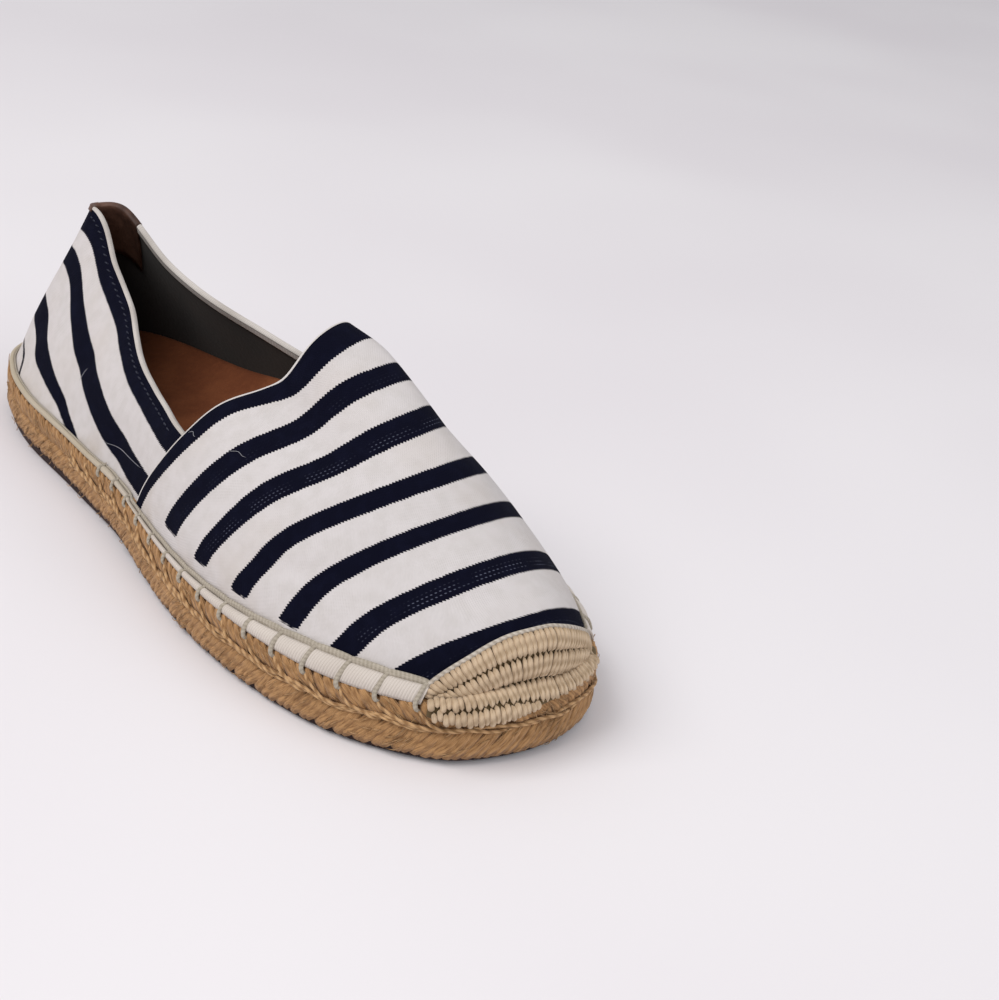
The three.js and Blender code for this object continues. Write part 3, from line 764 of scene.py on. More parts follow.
class Graph:
    """The nodes of one material."""

    def __init__(self, name: str) -> None:
        """Makes a material with only a Principled shader."""
        self.material = bpy.data.materials.new(name)
        self.material.use_nodes = True
        self.tree = self.material.node_tree
        self.shader = next(n for n in self.tree.nodes if n.type == "BSDF_PRINCIPLED")

    def add(self, kind: str, settings: dict | None = None, inputs: dict | None = None,
            output: int | str = 0) -> Value:
        """Adds a node.

        Args:
            kind: Its type, without ShaderNode in front.
            settings: Its settings.
            inputs: Values or links for its sockets, by name or number.
            output: Which output is wanted.

        Returns:
            That output.
        """
        node = self.tree.nodes.new("ShaderNode" + kind)
        for key, value in (settings or {}).items():
            setattr(node, key, value)
        for key, value in (inputs or {}).items():
            self.feed(node.inputs[key], value)
        return Value(self, node.outputs[output])

    def feed(self, socket: bpy.types.NodeSocket, value: object) -> None:
        """Links a value to a socket, or sets it there."""
        if isinstance(value, Value):
            self.tree.links.new(value.socket, socket)
        else:
            socket.default_value = value

    def painted(self, name: str) -> Value:
        """Reads a value that the piece was painted with."""
        return self.add("Attribute", {"attribute_name": name}, output="Fac")

    def place(self) -> Value:
        """Reads the place in the shoe's frame."""
        return self.add("TexCoord", output="Object")

    def noise(self, scale: float, detail: float, vector: Value | None = None) -> Value:
        """Adds noise, from 0 to 1.

        Args:
            scale: Its scale, for a place in metres.
            detail: How many finer layers it has.
            vector: What it reads in place of the place in the shoe's frame.

        Returns:
            The noise.
        """
        return self.add("TexNoise", {}, {"Vector": vector or self.place(), "Scale": scale, "Detail": detail})

    def triple(self, x: Number, y: Number, z: Number) -> Value:
        """Makes a vector of values."""
        return self.add("CombineXYZ", {}, {0: x, 1: y, 2: z})

    def blend(self, share: Number, a: object, b: object) -> Value:
        """Goes from colour a to colour b by a share."""
        node = self.tree.nodes.new("ShaderNodeMix")
        node.data_type = "RGBA"
        for socket, value in ((node.inputs[0], share), (node.inputs[6], a), (node.inputs[7], b)):
            self.feed(socket, value)
        return Value(self, node.outputs[2])

    def finish(self, colour: object, roughness: Number, height: Value | None = None, depth: float = 0.3,
               **constants: float) -> bpy.types.Material:
        """Feeds the shader.

        Args:
            colour: The base colour.
            roughness: The roughness.
            height: What the bump reads, in millimetres.
            depth: How strong the bump is.
            constants: Numbers for the shader's own sockets.

        Returns:
            The material.
        """
        self.feed(self.shader.inputs["Base Color"], colour)
        self.feed(self.shader.inputs["Roughness"], roughness)
        if height is not None:
            bump = self.add("Bump", {}, {"Height": height, "Strength": depth, "Distance": METRES}, "Normal")
            self.feed(self.shader.inputs["Normal"], bump)
        for name, value in constants.items():
            self.shader.inputs[name.replace("_", " ")].default_value = value
        return self.material


def srgb(red: int, green: int, blue: int) -> Colour:
    """Turns a colour as a screen shows it into the shader's own."""
    parts = [c / 255 for c in (red, green, blue)]
    linear = [c / 12.92 if c <= 0.04045 else ((c + 0.055) / 1.055) ** 2.4 for c in parts]
    return (*linear, 1.0)


@dataclass(frozen=True)
class Canvas:
    """Striped cotton canvas.

    Args:
        name: The material's name.
        white: The undyed cloth.
        navy: The dyed stripes.
        slubs: The colour of thicker threads in the undyed cloth.
        warm: The colour of its broad warm patches.
        dust: The colour that "soil" brings in.
        faded: The colour of thicker threads in the stripes.
        flecks: The colour of the flecks.
        tooth: How far the stripe's edge steps with the weave, in millimetres.
        pitch: The spacing of those steps.
        thread: The spacing of the weave's threads.
        fleck_rows: The spacing of the rows of flecks.
        fleck_dots: The spacing of the flecks in a row.
    """

    name: str
    white: Colour = srgb(206, 200, 199)
    navy: Colour = srgb(10, 11, 26)
    slubs: Colour = srgb(186, 180, 175)
    warm: Colour = srgb(196, 184, 174)
    dust: Colour = srgb(172, 156, 136)
    faded: Colour = srgb(19, 21, 40)
    flecks: Colour = srgb(110, 114, 132)
    tooth: float = 0.5
    pitch: float = 0.95
    thread: float = 0.75
    fleck_rows: float = 1.15
    fleck_dots: float = 1.3

    def make(self) -> bpy.types.Material:
        """Makes the material, which reads "edge", "low", "fleck", "run", "girth" and "soil"."""
        g = Graph(self.name)
        run, girth = g.painted("run"), g.painted("girth")
        weave = (run * (math.tau / self.thread)).sine() * (girth * (math.tau / self.thread)).sine()
        step = (girth.wave(self.pitch) - 0.5) * self.tooth
        wander = (g.noise(420, 2) - 0.5) * 0.5
        dyed = (g.painted("edge") + step + wander).step(-0.1, 0.12)
        slub = g.noise(260, 4)
        soft = g.noise(28, 3)
        plain = g.blend(slub.step(0.3, 0.75) * 0.35, self.white, self.slubs)
        plain = g.blend(soft.step(0.5, 0.75) * 0.25, plain, self.warm)
        soil = g.painted("soil") * g.noise(90, 4).step(0.35, 0.7)
        plain = g.blend(soil * 0.5, plain, self.dust)
        low = g.painted("low")
        rows = low.wave(self.fleck_rows).step(0.66, 0.9) * low.step(0.7, 1.0) * (1 - low.step(3.6, 4.2))
        dots = girth.wave(self.fleck_dots).step(0.45, 0.75)
        gate = g.noise(150, 2).step(0.42, 0.6)
        fleck = rows * dots * gate * g.painted("fleck")
        deep = g.blend(slub.step(0.4, 0.8) * 0.4, self.navy, self.faded)
        deep = g.blend(fleck * 0.6, deep, self.flecks)
        colour = g.blend(dyed, plain, deep)
        height = weave * 0.09 + slub * 0.10 + g.noise(700, 2) * 0.08
        return g.finish(colour, 0.95, height, 0.6, Specular_IOR_Level=0.06)


@dataclass(frozen=True)
class PlainCloth:
    """Undyed or one-coloured cloth, ribbed where a rib is given.

    Args:
        name: The material's name.
        light: The raised threads' colour.
        dark: The hollows' colour.
        rib: The spacing of its ribs along "run", in millimetres, or 0.
        depth: How strong the bump is.
        mottle: How much the darker colour mixes in.
        soiled: The colour that "soil" brings in, if it reads that.
        seam: Where across it a thin dark line lies, or 0.
        seam_colour: That line's colour.
    """

    name: str
    light: Colour
    dark: Colour
    rib: float = 0.0
    depth: float = 0.6
    mottle: float = 0.5
    soiled: Colour | None = None
    seam: float = 0.0
    seam_colour: Colour = srgb(52, 44, 38)

    def make(self) -> bpy.types.Material:
        """Makes the material."""
        g = Graph(self.name)
        coarse, fine = g.noise(60, 4), g.noise(700, 3)
        colour = g.blend(coarse.step(0.35, 0.7) * self.mottle, self.light, self.dark)
        height = fine * 0.15
        if self.seam:
            line = 1 - (g.painted("turn") - self.seam).absolute().step(0.012, 0.035)
            colour = g.blend(line * 0.8, colour, self.seam_colour)
        if self.soiled:
            colour = g.blend(g.painted("soil") * (coarse * 0.35 + 0.6), colour, self.soiled)
        if self.rib:
            ribs = g.painted("run").wave(self.rib)
            colour = g.blend((1 - ribs.step(0.05, 0.5)) * 0.35, colour, self.dark)
            height = height + ribs * 0.22
        return g.finish(colour, 0.93, height, self.depth, Sheen_Weight=0.1, Specular_IOR_Level=0.2)


@dataclass(frozen=True)
class Twist:
    """A twisted cord or strand of fibres.

    Args:
        name: The material's name.
        light: The colour on top of the plies.
        dark: The colour between them.
        pitch: How far apart the plies are along the cord, in millimetres.
        plies: How many turns of colour go round it.
        fibre: How strongly fine fibres run along it.
        depth: How strong the bump is.
    """

    name: str
    light: Colour
    dark: Colour
    pitch: float
    plies: int = 1
    fibre: float = 0.5
    depth: float = 0.8

    def make(self) -> bpy.types.Material:
        """Makes the material, which reads "run" and "turn"."""
        g = Graph(self.name)
        run, turn = g.painted("run"), g.painted("turn")
        ply = ((run * (1 / self.pitch) + turn * self.plies) * math.tau).sine() * 0.5 + 0.5
        fibres = g.noise(1.0, 3, g.triple(run * 0.35 + turn * 0.8, turn * 26.0, g.noise(40, 1) * 9))
        broad = g.noise(120, 3)
        shade = ply * (1 - self.fibre) + fibres * self.fibre
        colour = g.blend(shade.step(0.2, 0.72), self.dark, self.light)
        colour = g.blend(broad.step(0.45, 0.75) * 0.3, colour, self.dark)
        height = ply * 0.3 * (1 - self.fibre * 0.5) + fibres * 0.45 * self.fibre
        return g.finish(colour, 0.9, height, self.depth, Sheen_Weight=0.1, Specular_IOR_Level=0.25)


@dataclass(frozen=True)
class Hide:
    """Leather or suede.

    Args:
        name: The material's name.
        colour: Its main colour.
        worn: The colour where it is rubbed.
        grain: The scale of its grain.
        rough: Its roughness.
        depth: How strong the bump is.
    """

    name: str
    colour: Colour
    worn: Colour
    grain: float
    rough: float
    depth: float

    def make(self) -> bpy.types.Material:
        """Makes the material."""
        g = Graph(self.name)
        nap, rubs = g.noise(self.grain, 5), g.noise(45, 4)
        colour = g.blend(rubs.step(0.42, 0.72) * 0.7, self.colour, self.worn)
        colour = g.blend(nap.step(0.4, 0.75) * 0.25, colour, self.worn)
        return g.finish(colour, nap * 0.1 + self.rough, nap, self.depth, Specular_IOR_Level=0.3)


@dataclass(frozen=True)
class Rubber:
    """Thin moulded rubber with dust in its pores.

    Args:
        name: The material's name.
        colour: The clean rubber.
        dust: The dust on it.
    """

    name: str
    colour: Colour
    dust: Colour

    def make(self) -> bpy.types.Material:
        """Makes the material."""
        g = Graph(self.name)
        dust, pores = g.noise(70, 4), g.noise(1500, 2)
        colour = g.blend(dust.step(0.45, 0.75) * 0.5, self.colour, self.dust)
        return g.finish(colour, dust * 0.15 + 0.68, pores, 0.2, Specular_IOR_Level=0.35)


class Finishes:
    """Every finish of the shoe."""

    def __init__(self) -> None:
        """Makes the materials."""
        self.canvas = Canvas("striped_canvas").make()
        self.fold = PlainCloth("folded_canvas", srgb(208, 202, 198), srgb(178, 170, 163)).make()
        # The lining is pale khaki canvas; these near-black colours are painted shade for the inside of the
        # shoe.
        self.painted_shade_lining = PlainCloth("painted_shade_canvas_lining", srgb(38, 27, 19), srgb(22, 16, 11), mottle=0.7).make()
        self.tape = PlainCloth("ribbed_tape", srgb(206, 196, 187), srgb(162, 149, 136), rib=0.8, mottle=0.15,
                               soiled=srgb(176, 162, 136)).make()
        self.binding = PlainCloth("collar_tape", srgb(200, 193, 187), srgb(150, 141, 132), rib=0.7, depth=0.3,
                                  seam=0.57).make()
        self.thread = Twist("waxed_thread", srgb(178, 168, 153), srgb(144, 134, 119), 1.1, fibre=0.8,
                            depth=0.4).make()
        self.dark_thread = Twist("navy_thread", srgb(36, 41, 62), srgb(16, 18, 34), 0.8).make()
        self.jute = Twist("jute_strands", srgb(186, 143, 97), srgb(118, 82, 48), 5.0, fibre=0.9,
                          depth=1.0).make()
        # The core shows only in the gaps between the strands; its darker colours are painted shade there.
        self.core = Twist("jute_core_painted_shade", srgb(128, 92, 58), srgb(84, 58, 36), 5.0, fibre=0.9).make()
        self.cord = Twist("jute_cord", srgb(200, 161, 116), srgb(142, 104, 66), 3.2, fibre=0.6).make()
        self.crochet = Twist("crochet_cotton", srgb(206, 182, 153), srgb(162, 138, 110), 2.6, fibre=0.75,
                             depth=0.5).make()
        self.edge_cord = Twist("crochet_edge", srgb(198, 188, 176), srgb(164, 152, 138), 1.6,
                               fibre=0.6).make()
        # The ground shows only in the gaps between the stitches; its dark colours are painted shade there.
        self.crochet_ground_painted_shade = PlainCloth("crochet_ground_painted_shade", srgb(104, 86, 58), srgb(64, 50, 32),
                                         depth=1.0).make()
        self.rubber = Rubber("maroon_rubber", srgb(42, 24, 24), srgb(84, 62, 56)).make()
        self.suede = Hide("insole_suede", srgb(102, 53, 27), srgb(130, 75, 43), 420, 0.85, 0.35).make()
        self.leather = Hide("tab_leather", srgb(54, 34, 26), srgb(116, 82, 66), 300, 0.5, 0.4).make()
        self.lint = PlainCloth("pulled_thread", srgb(158, 157, 162), srgb(118, 118, 126)).make()


def table_at(places: tuple[float, ...], values: tuple[float, ...], where: Array) -> Array:
    """Reads a short table along a smooth curve."""
    return smooth({"along": places, "value": values}, where, "value")


def through(paths: Array, count: int) -> Array:
    """Runs a smooth curve through each path's points.

    Args:
        paths: For each path its points.
        count: How many points each path gets.

    Returns:
        The new points.
    """
    places = tuple(np.linspace(0, 1, paths.shape[1]))
    where = np.linspace(0, 1, count)
    flat = paths.transpose(1, 0, 2).reshape(paths.shape[1], -1)
    columns = [table_at(places, tuple(column), where) for column in flat.T]
    return np.array(columns).T.reshape(count, paths.shape[0], 3).transpose(1, 0, 2)


def resample(stops: list[tuple[Array, Array]], count: int) -> tuple[Array, Array]:
    """Runs smooth curves through stops.

    Args:
        stops: For each stop the points of every path and their outward directions.
        count: How many points each path gets.

    Returns:
        The paths and their outward directions.
    """
    paths, outward = (through(np.stack(parts, 1), count) for parts in zip(*stops))
    return paths, unit(outward)


@dataclass
class Upper:
    """The canvas vamp and quarter, with the fold along the vamp's top line.

    Args:
        finishes: The materials.
        gather: How much closer the vamp's stations stand towards the toe.
        tip: How far round the vamp's last station lies.
        follows: Up to which share of the vamp the outer side follows the drift.
        hem: How far above their foot the stripes end, and how much lower they do at the toe.
        hem_grows: From where to where behind the top line the hem grows.
        toe_hem: From where to where along the foot it gets lower.
        drift_reach: How far behind the top line its drift fades out.
        ridge_width: How wide the cloth is rounded over the ridge, as a share of its half.
        ridge_rounds: How often it is rounded.
        soil_reach: How far dust reaches from the foot and from the top line.
        overlap: How far the quarter runs under the vamp.
        fold_radius: Half the width of the top line's fold.
        fold_depth: How far below the face its middle lies.
        vamp_cut: The width, the length and the area of the vamp's cloth; not used.
        quarter_cut: The same for the quarter; not used.
    """

    finishes: Finishes
    gather: float = 1.3
    tip: float = 0.4985
    follows: float = 0.7
    hem: tuple[float, float] = (5.4, 1.6)
    hem_grows: tuple[float, float] = (TOPLINE_ALONG + 0.015, TOPLINE_ALONG + 0.055)
    toe_hem: tuple[float, float] = (0.8, 0.92)
    drift_reach: float = 0.07
    ridge_width: float = 0.16
    ridge_rounds: int = 40
    soil_reach: tuple[float, float] = (5.0, 6.0)
    overlap: float = 0.035
    fold_radius: float = 0.6
    fold_depth: float = 0.55
    vamp_cut: tuple[float, float, float] = (170.0, 135.0, 14400.0)
    quarter_cut: tuple[float, float, float] = (55.0, 340.0, 12200.0)

    @staticmethod
    def _declare(piece: bpy.types.Object, cut: tuple[float, float, float]) -> None:
        """Takes how wide, how long and how large in all the cloth was cut, in millimetres, and does nothing
        with it.
        """

    @staticmethod
    def _stripes(along: Array, across: Array, scale: Array) -> tuple[Array, Array, Array]:
        """Measures how far each point of the vamp lies inside a stripe.

        Args:
            along: Each point's station.
            across: Its place across the vamp, from 0 to 2.
            scale: Millimetres of cloth for a whole length of stations.

        Returns:
            The depth inside a stripe, the distance to its toe edge, and the strength of its flecks.
        """
        edge = np.full(along.shape, UNDYED)
        low = np.zeros(along.shape)
        fleck = np.zeros(along.shape)
        for number, (starts, ends) in enumerate(VAMP_STRIPES):
            start = table_at(ACROSS, starts, across)
            end = table_at(ACROSS, ends, across)
            if number == 0:
                end = end + smooth(DRIFT, across, "drift")
            depth = np.minimum(along - start, end - along) * scale
            nearer = depth > edge
            low = np.where(nearer, (end - along) * scale, low)
            fleck = np.where(nearer, FLECKED.get(number, 0.0), fleck)
            edge = np.maximum(edge, depth)
        return edge, low, fleck

    def vamp(self) -> None:
        """Makes the front of the upper."""
        grid = Lattice("vamp", 150, 168)
        across = 2 * grid.v
        plain_share = mix(LAST.foot_share(True, TOPLINE_ALONG), self.tip, 1 - (1 - grid.u) ** self.gather)
        along = self._drifted(LAST.foot_along(plain_share), across)
        share, rise = LAST.over(along, across)
        share = np.where((across <= 1) & (grid.u >= self.follows), plain_share, share)
        points = self._round_ridge(LAST.skin(share, rise).reshape(*grid.shape, 3))
        run = lengths(points, 1)
        girth = lengths(points, 0)
        stations = along.reshape(grid.shape)
        scale = np.gradient(run, axis=1) / np.maximum(np.gradient(stations, axis=1), TINY)
        edge, low, fleck = self._stripes(stations, across.reshape(grid.shape), scale)
        from_foot = np.minimum(girth, girth[-1:] - girth)
        hem = self.hem[0] * ramp(stations, *self.hem_grows) - self.hem[1] * ramp(stations, *self.toe_hem)
        edge = np.minimum(edge, from_foot - hem)
        soil = np.exp(-from_foot / self.soil_reach[0]) + 0.6 * np.exp(-run / self.soil_reach[1])
        grid.place(points).paint(edge=edge, low=low, fleck=fleck, run=run, girth=girth, soil=soil)
        piece = grid.thicken(VAMP_WALL, self.finishes.canvas, self.finishes.painted_shade_lining).piece
        self._declare(dress(piece, Slot.CANVAS, replaces=("upper",)), self.vamp_cut)

    def _drifted(self, along: Array, across: Array) -> Array:
        """Lets the stations behind the top line drift towards the toe or away from it."""
        fade = (1 - ramp(along, TOPLINE_ALONG, TOPLINE_ALONG + self.drift_reach)) ** 1.5
        return along + smooth(DRIFT, across, "drift") * fade

    def _round_ridge(self, points: Array) -> Array:
        """Rounds the cloth over the ridge, where both sides meet."""
        weight = np.exp(-((np.linspace(-1, 1, points.shape[0]) / self.ridge_width) ** 2))
        return softened(points, self.ridge_rounds, 0, weight[:, None, None])

    def topline(self) -> None:
        """Makes the thin white fold along the vamp's top line."""
        across = 2 * np.linspace(0, 1, 170)
        share, rise = LAST.over(self._drifted(np.full(across.shape, TOPLINE_ALONG), across), across)
        face = self._round_ridge(LAST.skin(share, rise)[:, None])[:, 0]
        outward = LAST.normal(share, rise)
        piece = tube("topline_fold", face - outward * self.fold_depth, outward, self.fold_radius, 10)
        dress(piece, Slot.CANVAS, self.finishes.fold)

    def quarter(self) -> None:
        """Makes the back of the upper, open at the collar and underneath."""
        grid = Lattice("quarter", 240, 60)
        reach = TOPLINE_ALONG + self.overlap
        place = 2 * grid.u - 1
        eased = 0.5 * place + 0.5 * place**3
        share = mix(LAST.foot_share(False, reach) - 1, LAST.foot_share(True, reach), (eased + 1) / 2)
        points = LAST.skin(share, LAST.collar_rise(share) * grid.v, -QUARTER_STEP).reshape(*grid.shape, 3)
        up = lengths(points, 0)
        below = up[-1:] - up
        along = LAST.foot_along(share).reshape(grid.shape)
        edge = np.full(grid.shape, UNDYED)
        for starts, ends in QUARTER_BANDS:
            start = table_at(BAND_ALONG, starts, along)
            end = table_at(BAND_ALONG, ends, along)
            edge = np.maximum(edge, np.minimum(below - start, end - below))
        soil = np.exp(-up / self.soil_reach[0])
        grid.place(points)
        grid.paint(edge=edge, low=below, fleck=0 * edge, run=below, girth=lengths(points, 1), soil=soil)
        piece = grid.thicken(QUARTER_WALL, self.finishes.canvas, self.finishes.painted_shade_lining).piece
        self._declare(dress(piece, Slot.CANVAS), self.quarter_cut)

    def build(self) -> None:
        """Makes every piece of the upper."""
        self.vamp()
        self.topline()
        self.quarter()


@dataclass
class Collar:
    """The bindings folded over the collar, their stitches and the leather tab at the back.

    Args:
        finishes: The materials.
        gap: The room between the upper and what is folded over it.
        fold: From where to where across a strip it turns over the collar.
        fold_height: How high it stands there, as a share of half its width.
        thickness: The bindings' thickness.
        depth: How deep the bindings reach, outside and inside.
        end_lap: How far they reach past the top line.
        tab: How far the tab reaches from the heel, on the outer and on the inner side.
        tab_depth: How deep it reaches, outside and inside.
        tab_thickness: Its thickness.
        tab_lap: How far it covers the bindings.
        stitch_below: How far below the collar the stitches lie.
        stitch_spacing: How far apart they are.
        stitch_length: How long each one is.
        stitch: Half of its width and of its thickness.
        stitch_lift: How far each one stands off the cloth, at its ends and more in its middle.
        stitch_clear: How far from the tab they start.
        stitch_end: How far from the top line they end.
    """

    finishes: Finishes
    gap: float = 0.08
    fold: tuple[float, float] = (0.3, 0.55)
    fold_height: float = 0.55
    thickness: float = 0.35
    depth: tuple[float, float] = (0.45, 2.0)
    end_lap: float = 0.004
    tab: tuple[float, float] = (22.0, 33.0)
    tab_depth: tuple[float, float] = (1.3, 18.0)
    tab_thickness: float = 0.5
    tab_lap: float = 1.0
    stitch_below: float = 2.5
    stitch_spacing: float = 3.1
    stitch_length: float = 2.3
    stitch: tuple[float, float] = (0.24, 0.18)
    stitch_lift: tuple[float, float] = (0.02, 0.14)
    stitch_clear: float = 4.0
    stitch_end: float = 0.015

    def _strip(self, name: str, share: Array, depth: tuple[float, float], thickness: float) -> Lattice:
        """Folds a strip over the collar.

        Args:
            name: The piece's name.
            share: The stations that it runs along.
            depth: How deep it reaches, outside and inside.
            thickness: The strip's thickness.

        Returns:
            The strip, with its thickness.
        """
        grid = Lattice(name, len(share) - 1, 22)
        path = LAST.point(share, LAST.collar_rise(share))
        outside = -QUARTER_STEP + self.gap + thickness
        inside = -QUARTER_STEP - QUARTER_WALL - self.gap - thickness
        half = (outside - inside) / 2
        turn = ramp(grid.v, *self.fold) * math.pi
        across = (outside + inside) / 2 + half * np.cos(turn)
        over = np.sin(turn) * (half * self.fold_height) + self.gap
        drop = depth[0] * (1 - ramp(grid.v, 0, self.fold[0])) + depth[1] * ramp(grid.v, self.fold[1], 1)
        here = share[grid.column]
        points = LAST.skin(here, LAST.rise_at(here, path[grid.column, 2] - drop), across)
        points[:, 2] += np.where(drop <= 0, over, 0)
        grid.place(points).paint(run=lengths(path)[grid.column], turn=grid.v)
        return grid.thicken(thickness)

    def bindings(self) -> None:
        """Makes the two bindings."""
        end = TOPLINE_ALONG + self.end_lap
        outer = np.linspace(self.tab[0] / LAST.length, LAST.foot_share(True, end), 180)
        inner = np.linspace(LAST.foot_share(False, end) - 1, -self.tab[1] / LAST.length, 180)
        for side, share in (("lateral", outer), ("medial", inner)):
            grid = self._strip("binding_" + side, share, self.depth, self.thickness)
            dress(grid.piece, Slot.TAPE, self.finishes.binding, replaces=("collar_binding_" + side,))

    def leather(self) -> None:
        """Makes the leather tab."""
        share = np.linspace(-self.tab[1] - self.tab_lap, self.tab[0] + self.tab_lap, 70) / LAST.length
        grid = self._strip("leather_tab", share, self.tab_depth, self.tab_thickness)
        dress(grid.piece, Slot.LEATHER, self.finishes.leather, replaces=("heel_tab",))

    def stitches(self) -> None:
        """Makes the row of stitches under each binding."""
        start = (self.tab[0] + self.stitch_clear) / LAST.length
        end = TOPLINE_ALONG - self.stitch_end
        spacing = self.stitch_spacing / LAST.length
        outer = np.arange(start, LAST.foot_share(True, end), spacing)
        inner = np.arange(LAST.foot_share(False, end) - 1, -start, spacing)
        share = np.r_[outer, inner]
        below = LAST.point(share, LAST.collar_rise(share))[:, 2] - self.stitch_below
        places = np.linspace(-0.5, 0.5, 6)[None, :] * self.stitch_length / LAST.length + share[:, None]
        rise = LAST.rise_at(places, below[:, None])
        least, arch = self.stitch_lift
        lift = -QUARTER_STEP + least + arch * np.cos(np.linspace(-1.4, 1.4, 6))
        paths = LAST.skin(places, rise, lift)
        piece = laid("collar_stitches", paths, LAST.normal(places, rise), *self.stitch)
        dress(piece, Slot.CANVAS, self.finishes.dark_thread)

    def build(self) -> None:
        """Makes every piece of the collar."""
        self.bindings()
        self.leather()
        self.stitches()


@dataclass
class Edge:
    """The white tape between the upper's foot and the jute's edge, and the thread that holds it.

    Args:
        finishes: The materials.
        spacing: How far apart the upright threads stand, at the heel and further on.
        spaced: Between which places along the foot the spacing changes.
        ends: How far past the cap's corners the tape runs, on the inner and on the outer side.
        first: How far from the tape's end the first thread stands.
        fronts: Between which places along the foot the tape changes from flat and dull to full.
        puff: How full it stands between its threads, at the heel and further on.
        square: How squarely it stands full along and across, where less is squarer.
        bow: How far it bows out in all.
        lift: How far its upper edge stands off the cloth, past its own gap.
        thickness: Its thickness.
        thread: Half of an upright thread's width and of its thickness.
        least_front: How much of the change towards the toe has to be done where upright threads start.
        held: How far above the tape's edge an upright thread starts, and how far out.
        edge_inset: How far inside the widest line the tape's lower edge lies.
        edge_height: How high that lies.
        step_run: How long the step in the upper takes, behind the top line.
        running: How wide the running thread is and how far out it lies, at the heel and further on.
        hang: How far below the tape's edge the running thread hangs, and how much less towards the toe.
        over: The upright thread's stops on the tape, as their place on it and their lift.
        down: Its stops on the jute, as their height, their inset and how far they lean along the sole.
        heights: How high the tape's upper edge stands above the upper's foot.
    """

    finishes: Finishes
    spacing: tuple[float, float] = (7.6, 10.6)
    spaced: tuple[float, float] = (0.2, 0.42)
    ends: tuple[float, float] = (0.002, 0.004)
    first: float = 1.3
    fronts: tuple[float, float] = (0.36, 0.6)
    puff: tuple[float, float] = (0.3, 0.8)
    square: tuple[float, float] = (0.4, 0.55)
    bow: float = 0.5
    lift: float = 0.35
    thickness: float = 0.7
    thread: tuple[float, float] = (0.7, 0.49)
    least_front: float = 0.05
    held: tuple[float, float] = (0.9, 0.7)
    edge_inset: float = 0.9
    edge_height: float = 16.4
    step_run: float = 0.012
    running: tuple[tuple[float, float], tuple[float, float]] = ((0.6, 1.05), (0.3, TAPE_GAP))
    hang: tuple[float, float] = (0.35, 0.55)
    over: tuple[tuple[float, float], ...] = ((0.9, 0.15), (0.5, 0.3), (0.08, 0.4))
    down: tuple[tuple[float, float, float], ...] = ((15.8, 0.2, 0.3), (14.9, 0.35, 0.8), (14.2, 1.6, 1.8))
    heights: Table = field(default_factory=lambda: {
        "along": (0.0, 0.5, 0.62, 0.68, 0.76, 0.83, 0.88, 0.95),
        "up": (0.3, 0.3, 0.3, 0.9, 2.2, 3.4, 3.5, 2.8),
    })

    def __post_init__(self) -> None:
        """Finds where the upright threads stand."""
        self.start = float(LAST.foot_share(False, CAP_ALONG)) - 1 - self.ends[0]
        self.end = float(LAST.foot_share(True, CAP_ALONG)) + self.ends[1]
        anchors = [self.end - self.first / LAST.length]
        while anchors[-1] > self.start:
            along = float(LAST.foot_along(anchors[-1]))
            anchors.append(anchors[-1] - np.interp(along, self.spaced, self.spacing) / LAST.length)
        self.anchors = np.array(anchors[:-1])[::-1]

    def _front(self, share: Array) -> Array:
        """Gives 0 at the heel, where the tape lies flat and dull, and 1 towards the toe."""
        return ramp(LAST.foot_along(share), *self.fronts)

    def _step(self, share: Array) -> Array:
        """Gives how far in the quarter lies, behind the vamp's top line."""
        end = TOPLINE_ALONG - self.step_run
        return QUARTER_STEP * (1 - ramp(LAST.foot_along(share), end - self.step_run, end))

    def _block(self, share: Array) -> Array:
        """Gives how full the tape stands between two upright threads, from 0 to 1."""
        i = np.clip(np.searchsorted(self.anchors, share) - 1, 0, len(self.anchors) - 2)
        t = ramp(share, self.anchors[i], self.anchors[i + 1])
        return np.clip(np.sin(math.pi * t), 0, 1) ** self.square[0]

    def _rise(self, share: Array, above: Array | float = 0.0) -> Array:
        """Finds how far up its station the tape's upper edge lies, or a place above it."""
        along = LAST.foot_along(share)
        return LAST.rise_at(share, LAST.seat(along) + smooth(self.heights, along, "up") + above)

    def _face(self, share: Array, place: Array | float, lift: Array | float) -> tuple[Array, Array]:
        """Finds points on the tape.

        Args:
            share: How far round.
            place: From 0 at the jute's edge to 1 at the upper.
            lift: How far outside the flat tape.

        Returns:
            The points and the directions outward.
        """
        _, place, lift = np.broadcast_arrays(share, place, lift)
        top = LAST.skin(share, self._rise(share), TAPE_GAP + self.lift - self._step(share))
        flat, out = LAST.outline(share, self.edge_inset)
        low = np.c_[flat, self.edge_height + LAST.underside(LAST.foot_along(share))]
        tangent = level(np.c_[-out[:, 1], out[:, 0]])
        outward = unit(np.cross(tangent, top - low))
        outward = outward * np.sign((outward[:, :2] * out).sum(axis=1) + outward[:, 2])[:, None]
        raised = self.bow * np.sin(math.pi * place) + lift
        return mix(low, top, place[:, None]) + outward * raised[:, None], outward

    def tape(self) -> None:
        """Makes the tape, pinched where each thread holds it."""
        grid = Lattice("edge_tape_cloth", 1100, 8)
        share = mix(self.start, self.end, grid.u)
        front = self._front(share)
        full = mix(self.puff[0], self.puff[1] * self._block(share), front)
        swell = full * np.sin(math.pi * np.clip(grid.v, 0, 1)) ** self.square[1]
        points, _ = self._face(share, grid.v, swell)
        grid.place(points).paint(run=(share - self.start) * LAST.length, turn=grid.v, soil=1 - front)
        dress(grid.thicken(self.thickness).piece, Slot.TAPE, self.finishes.tape, replaces=("edge_tape",))

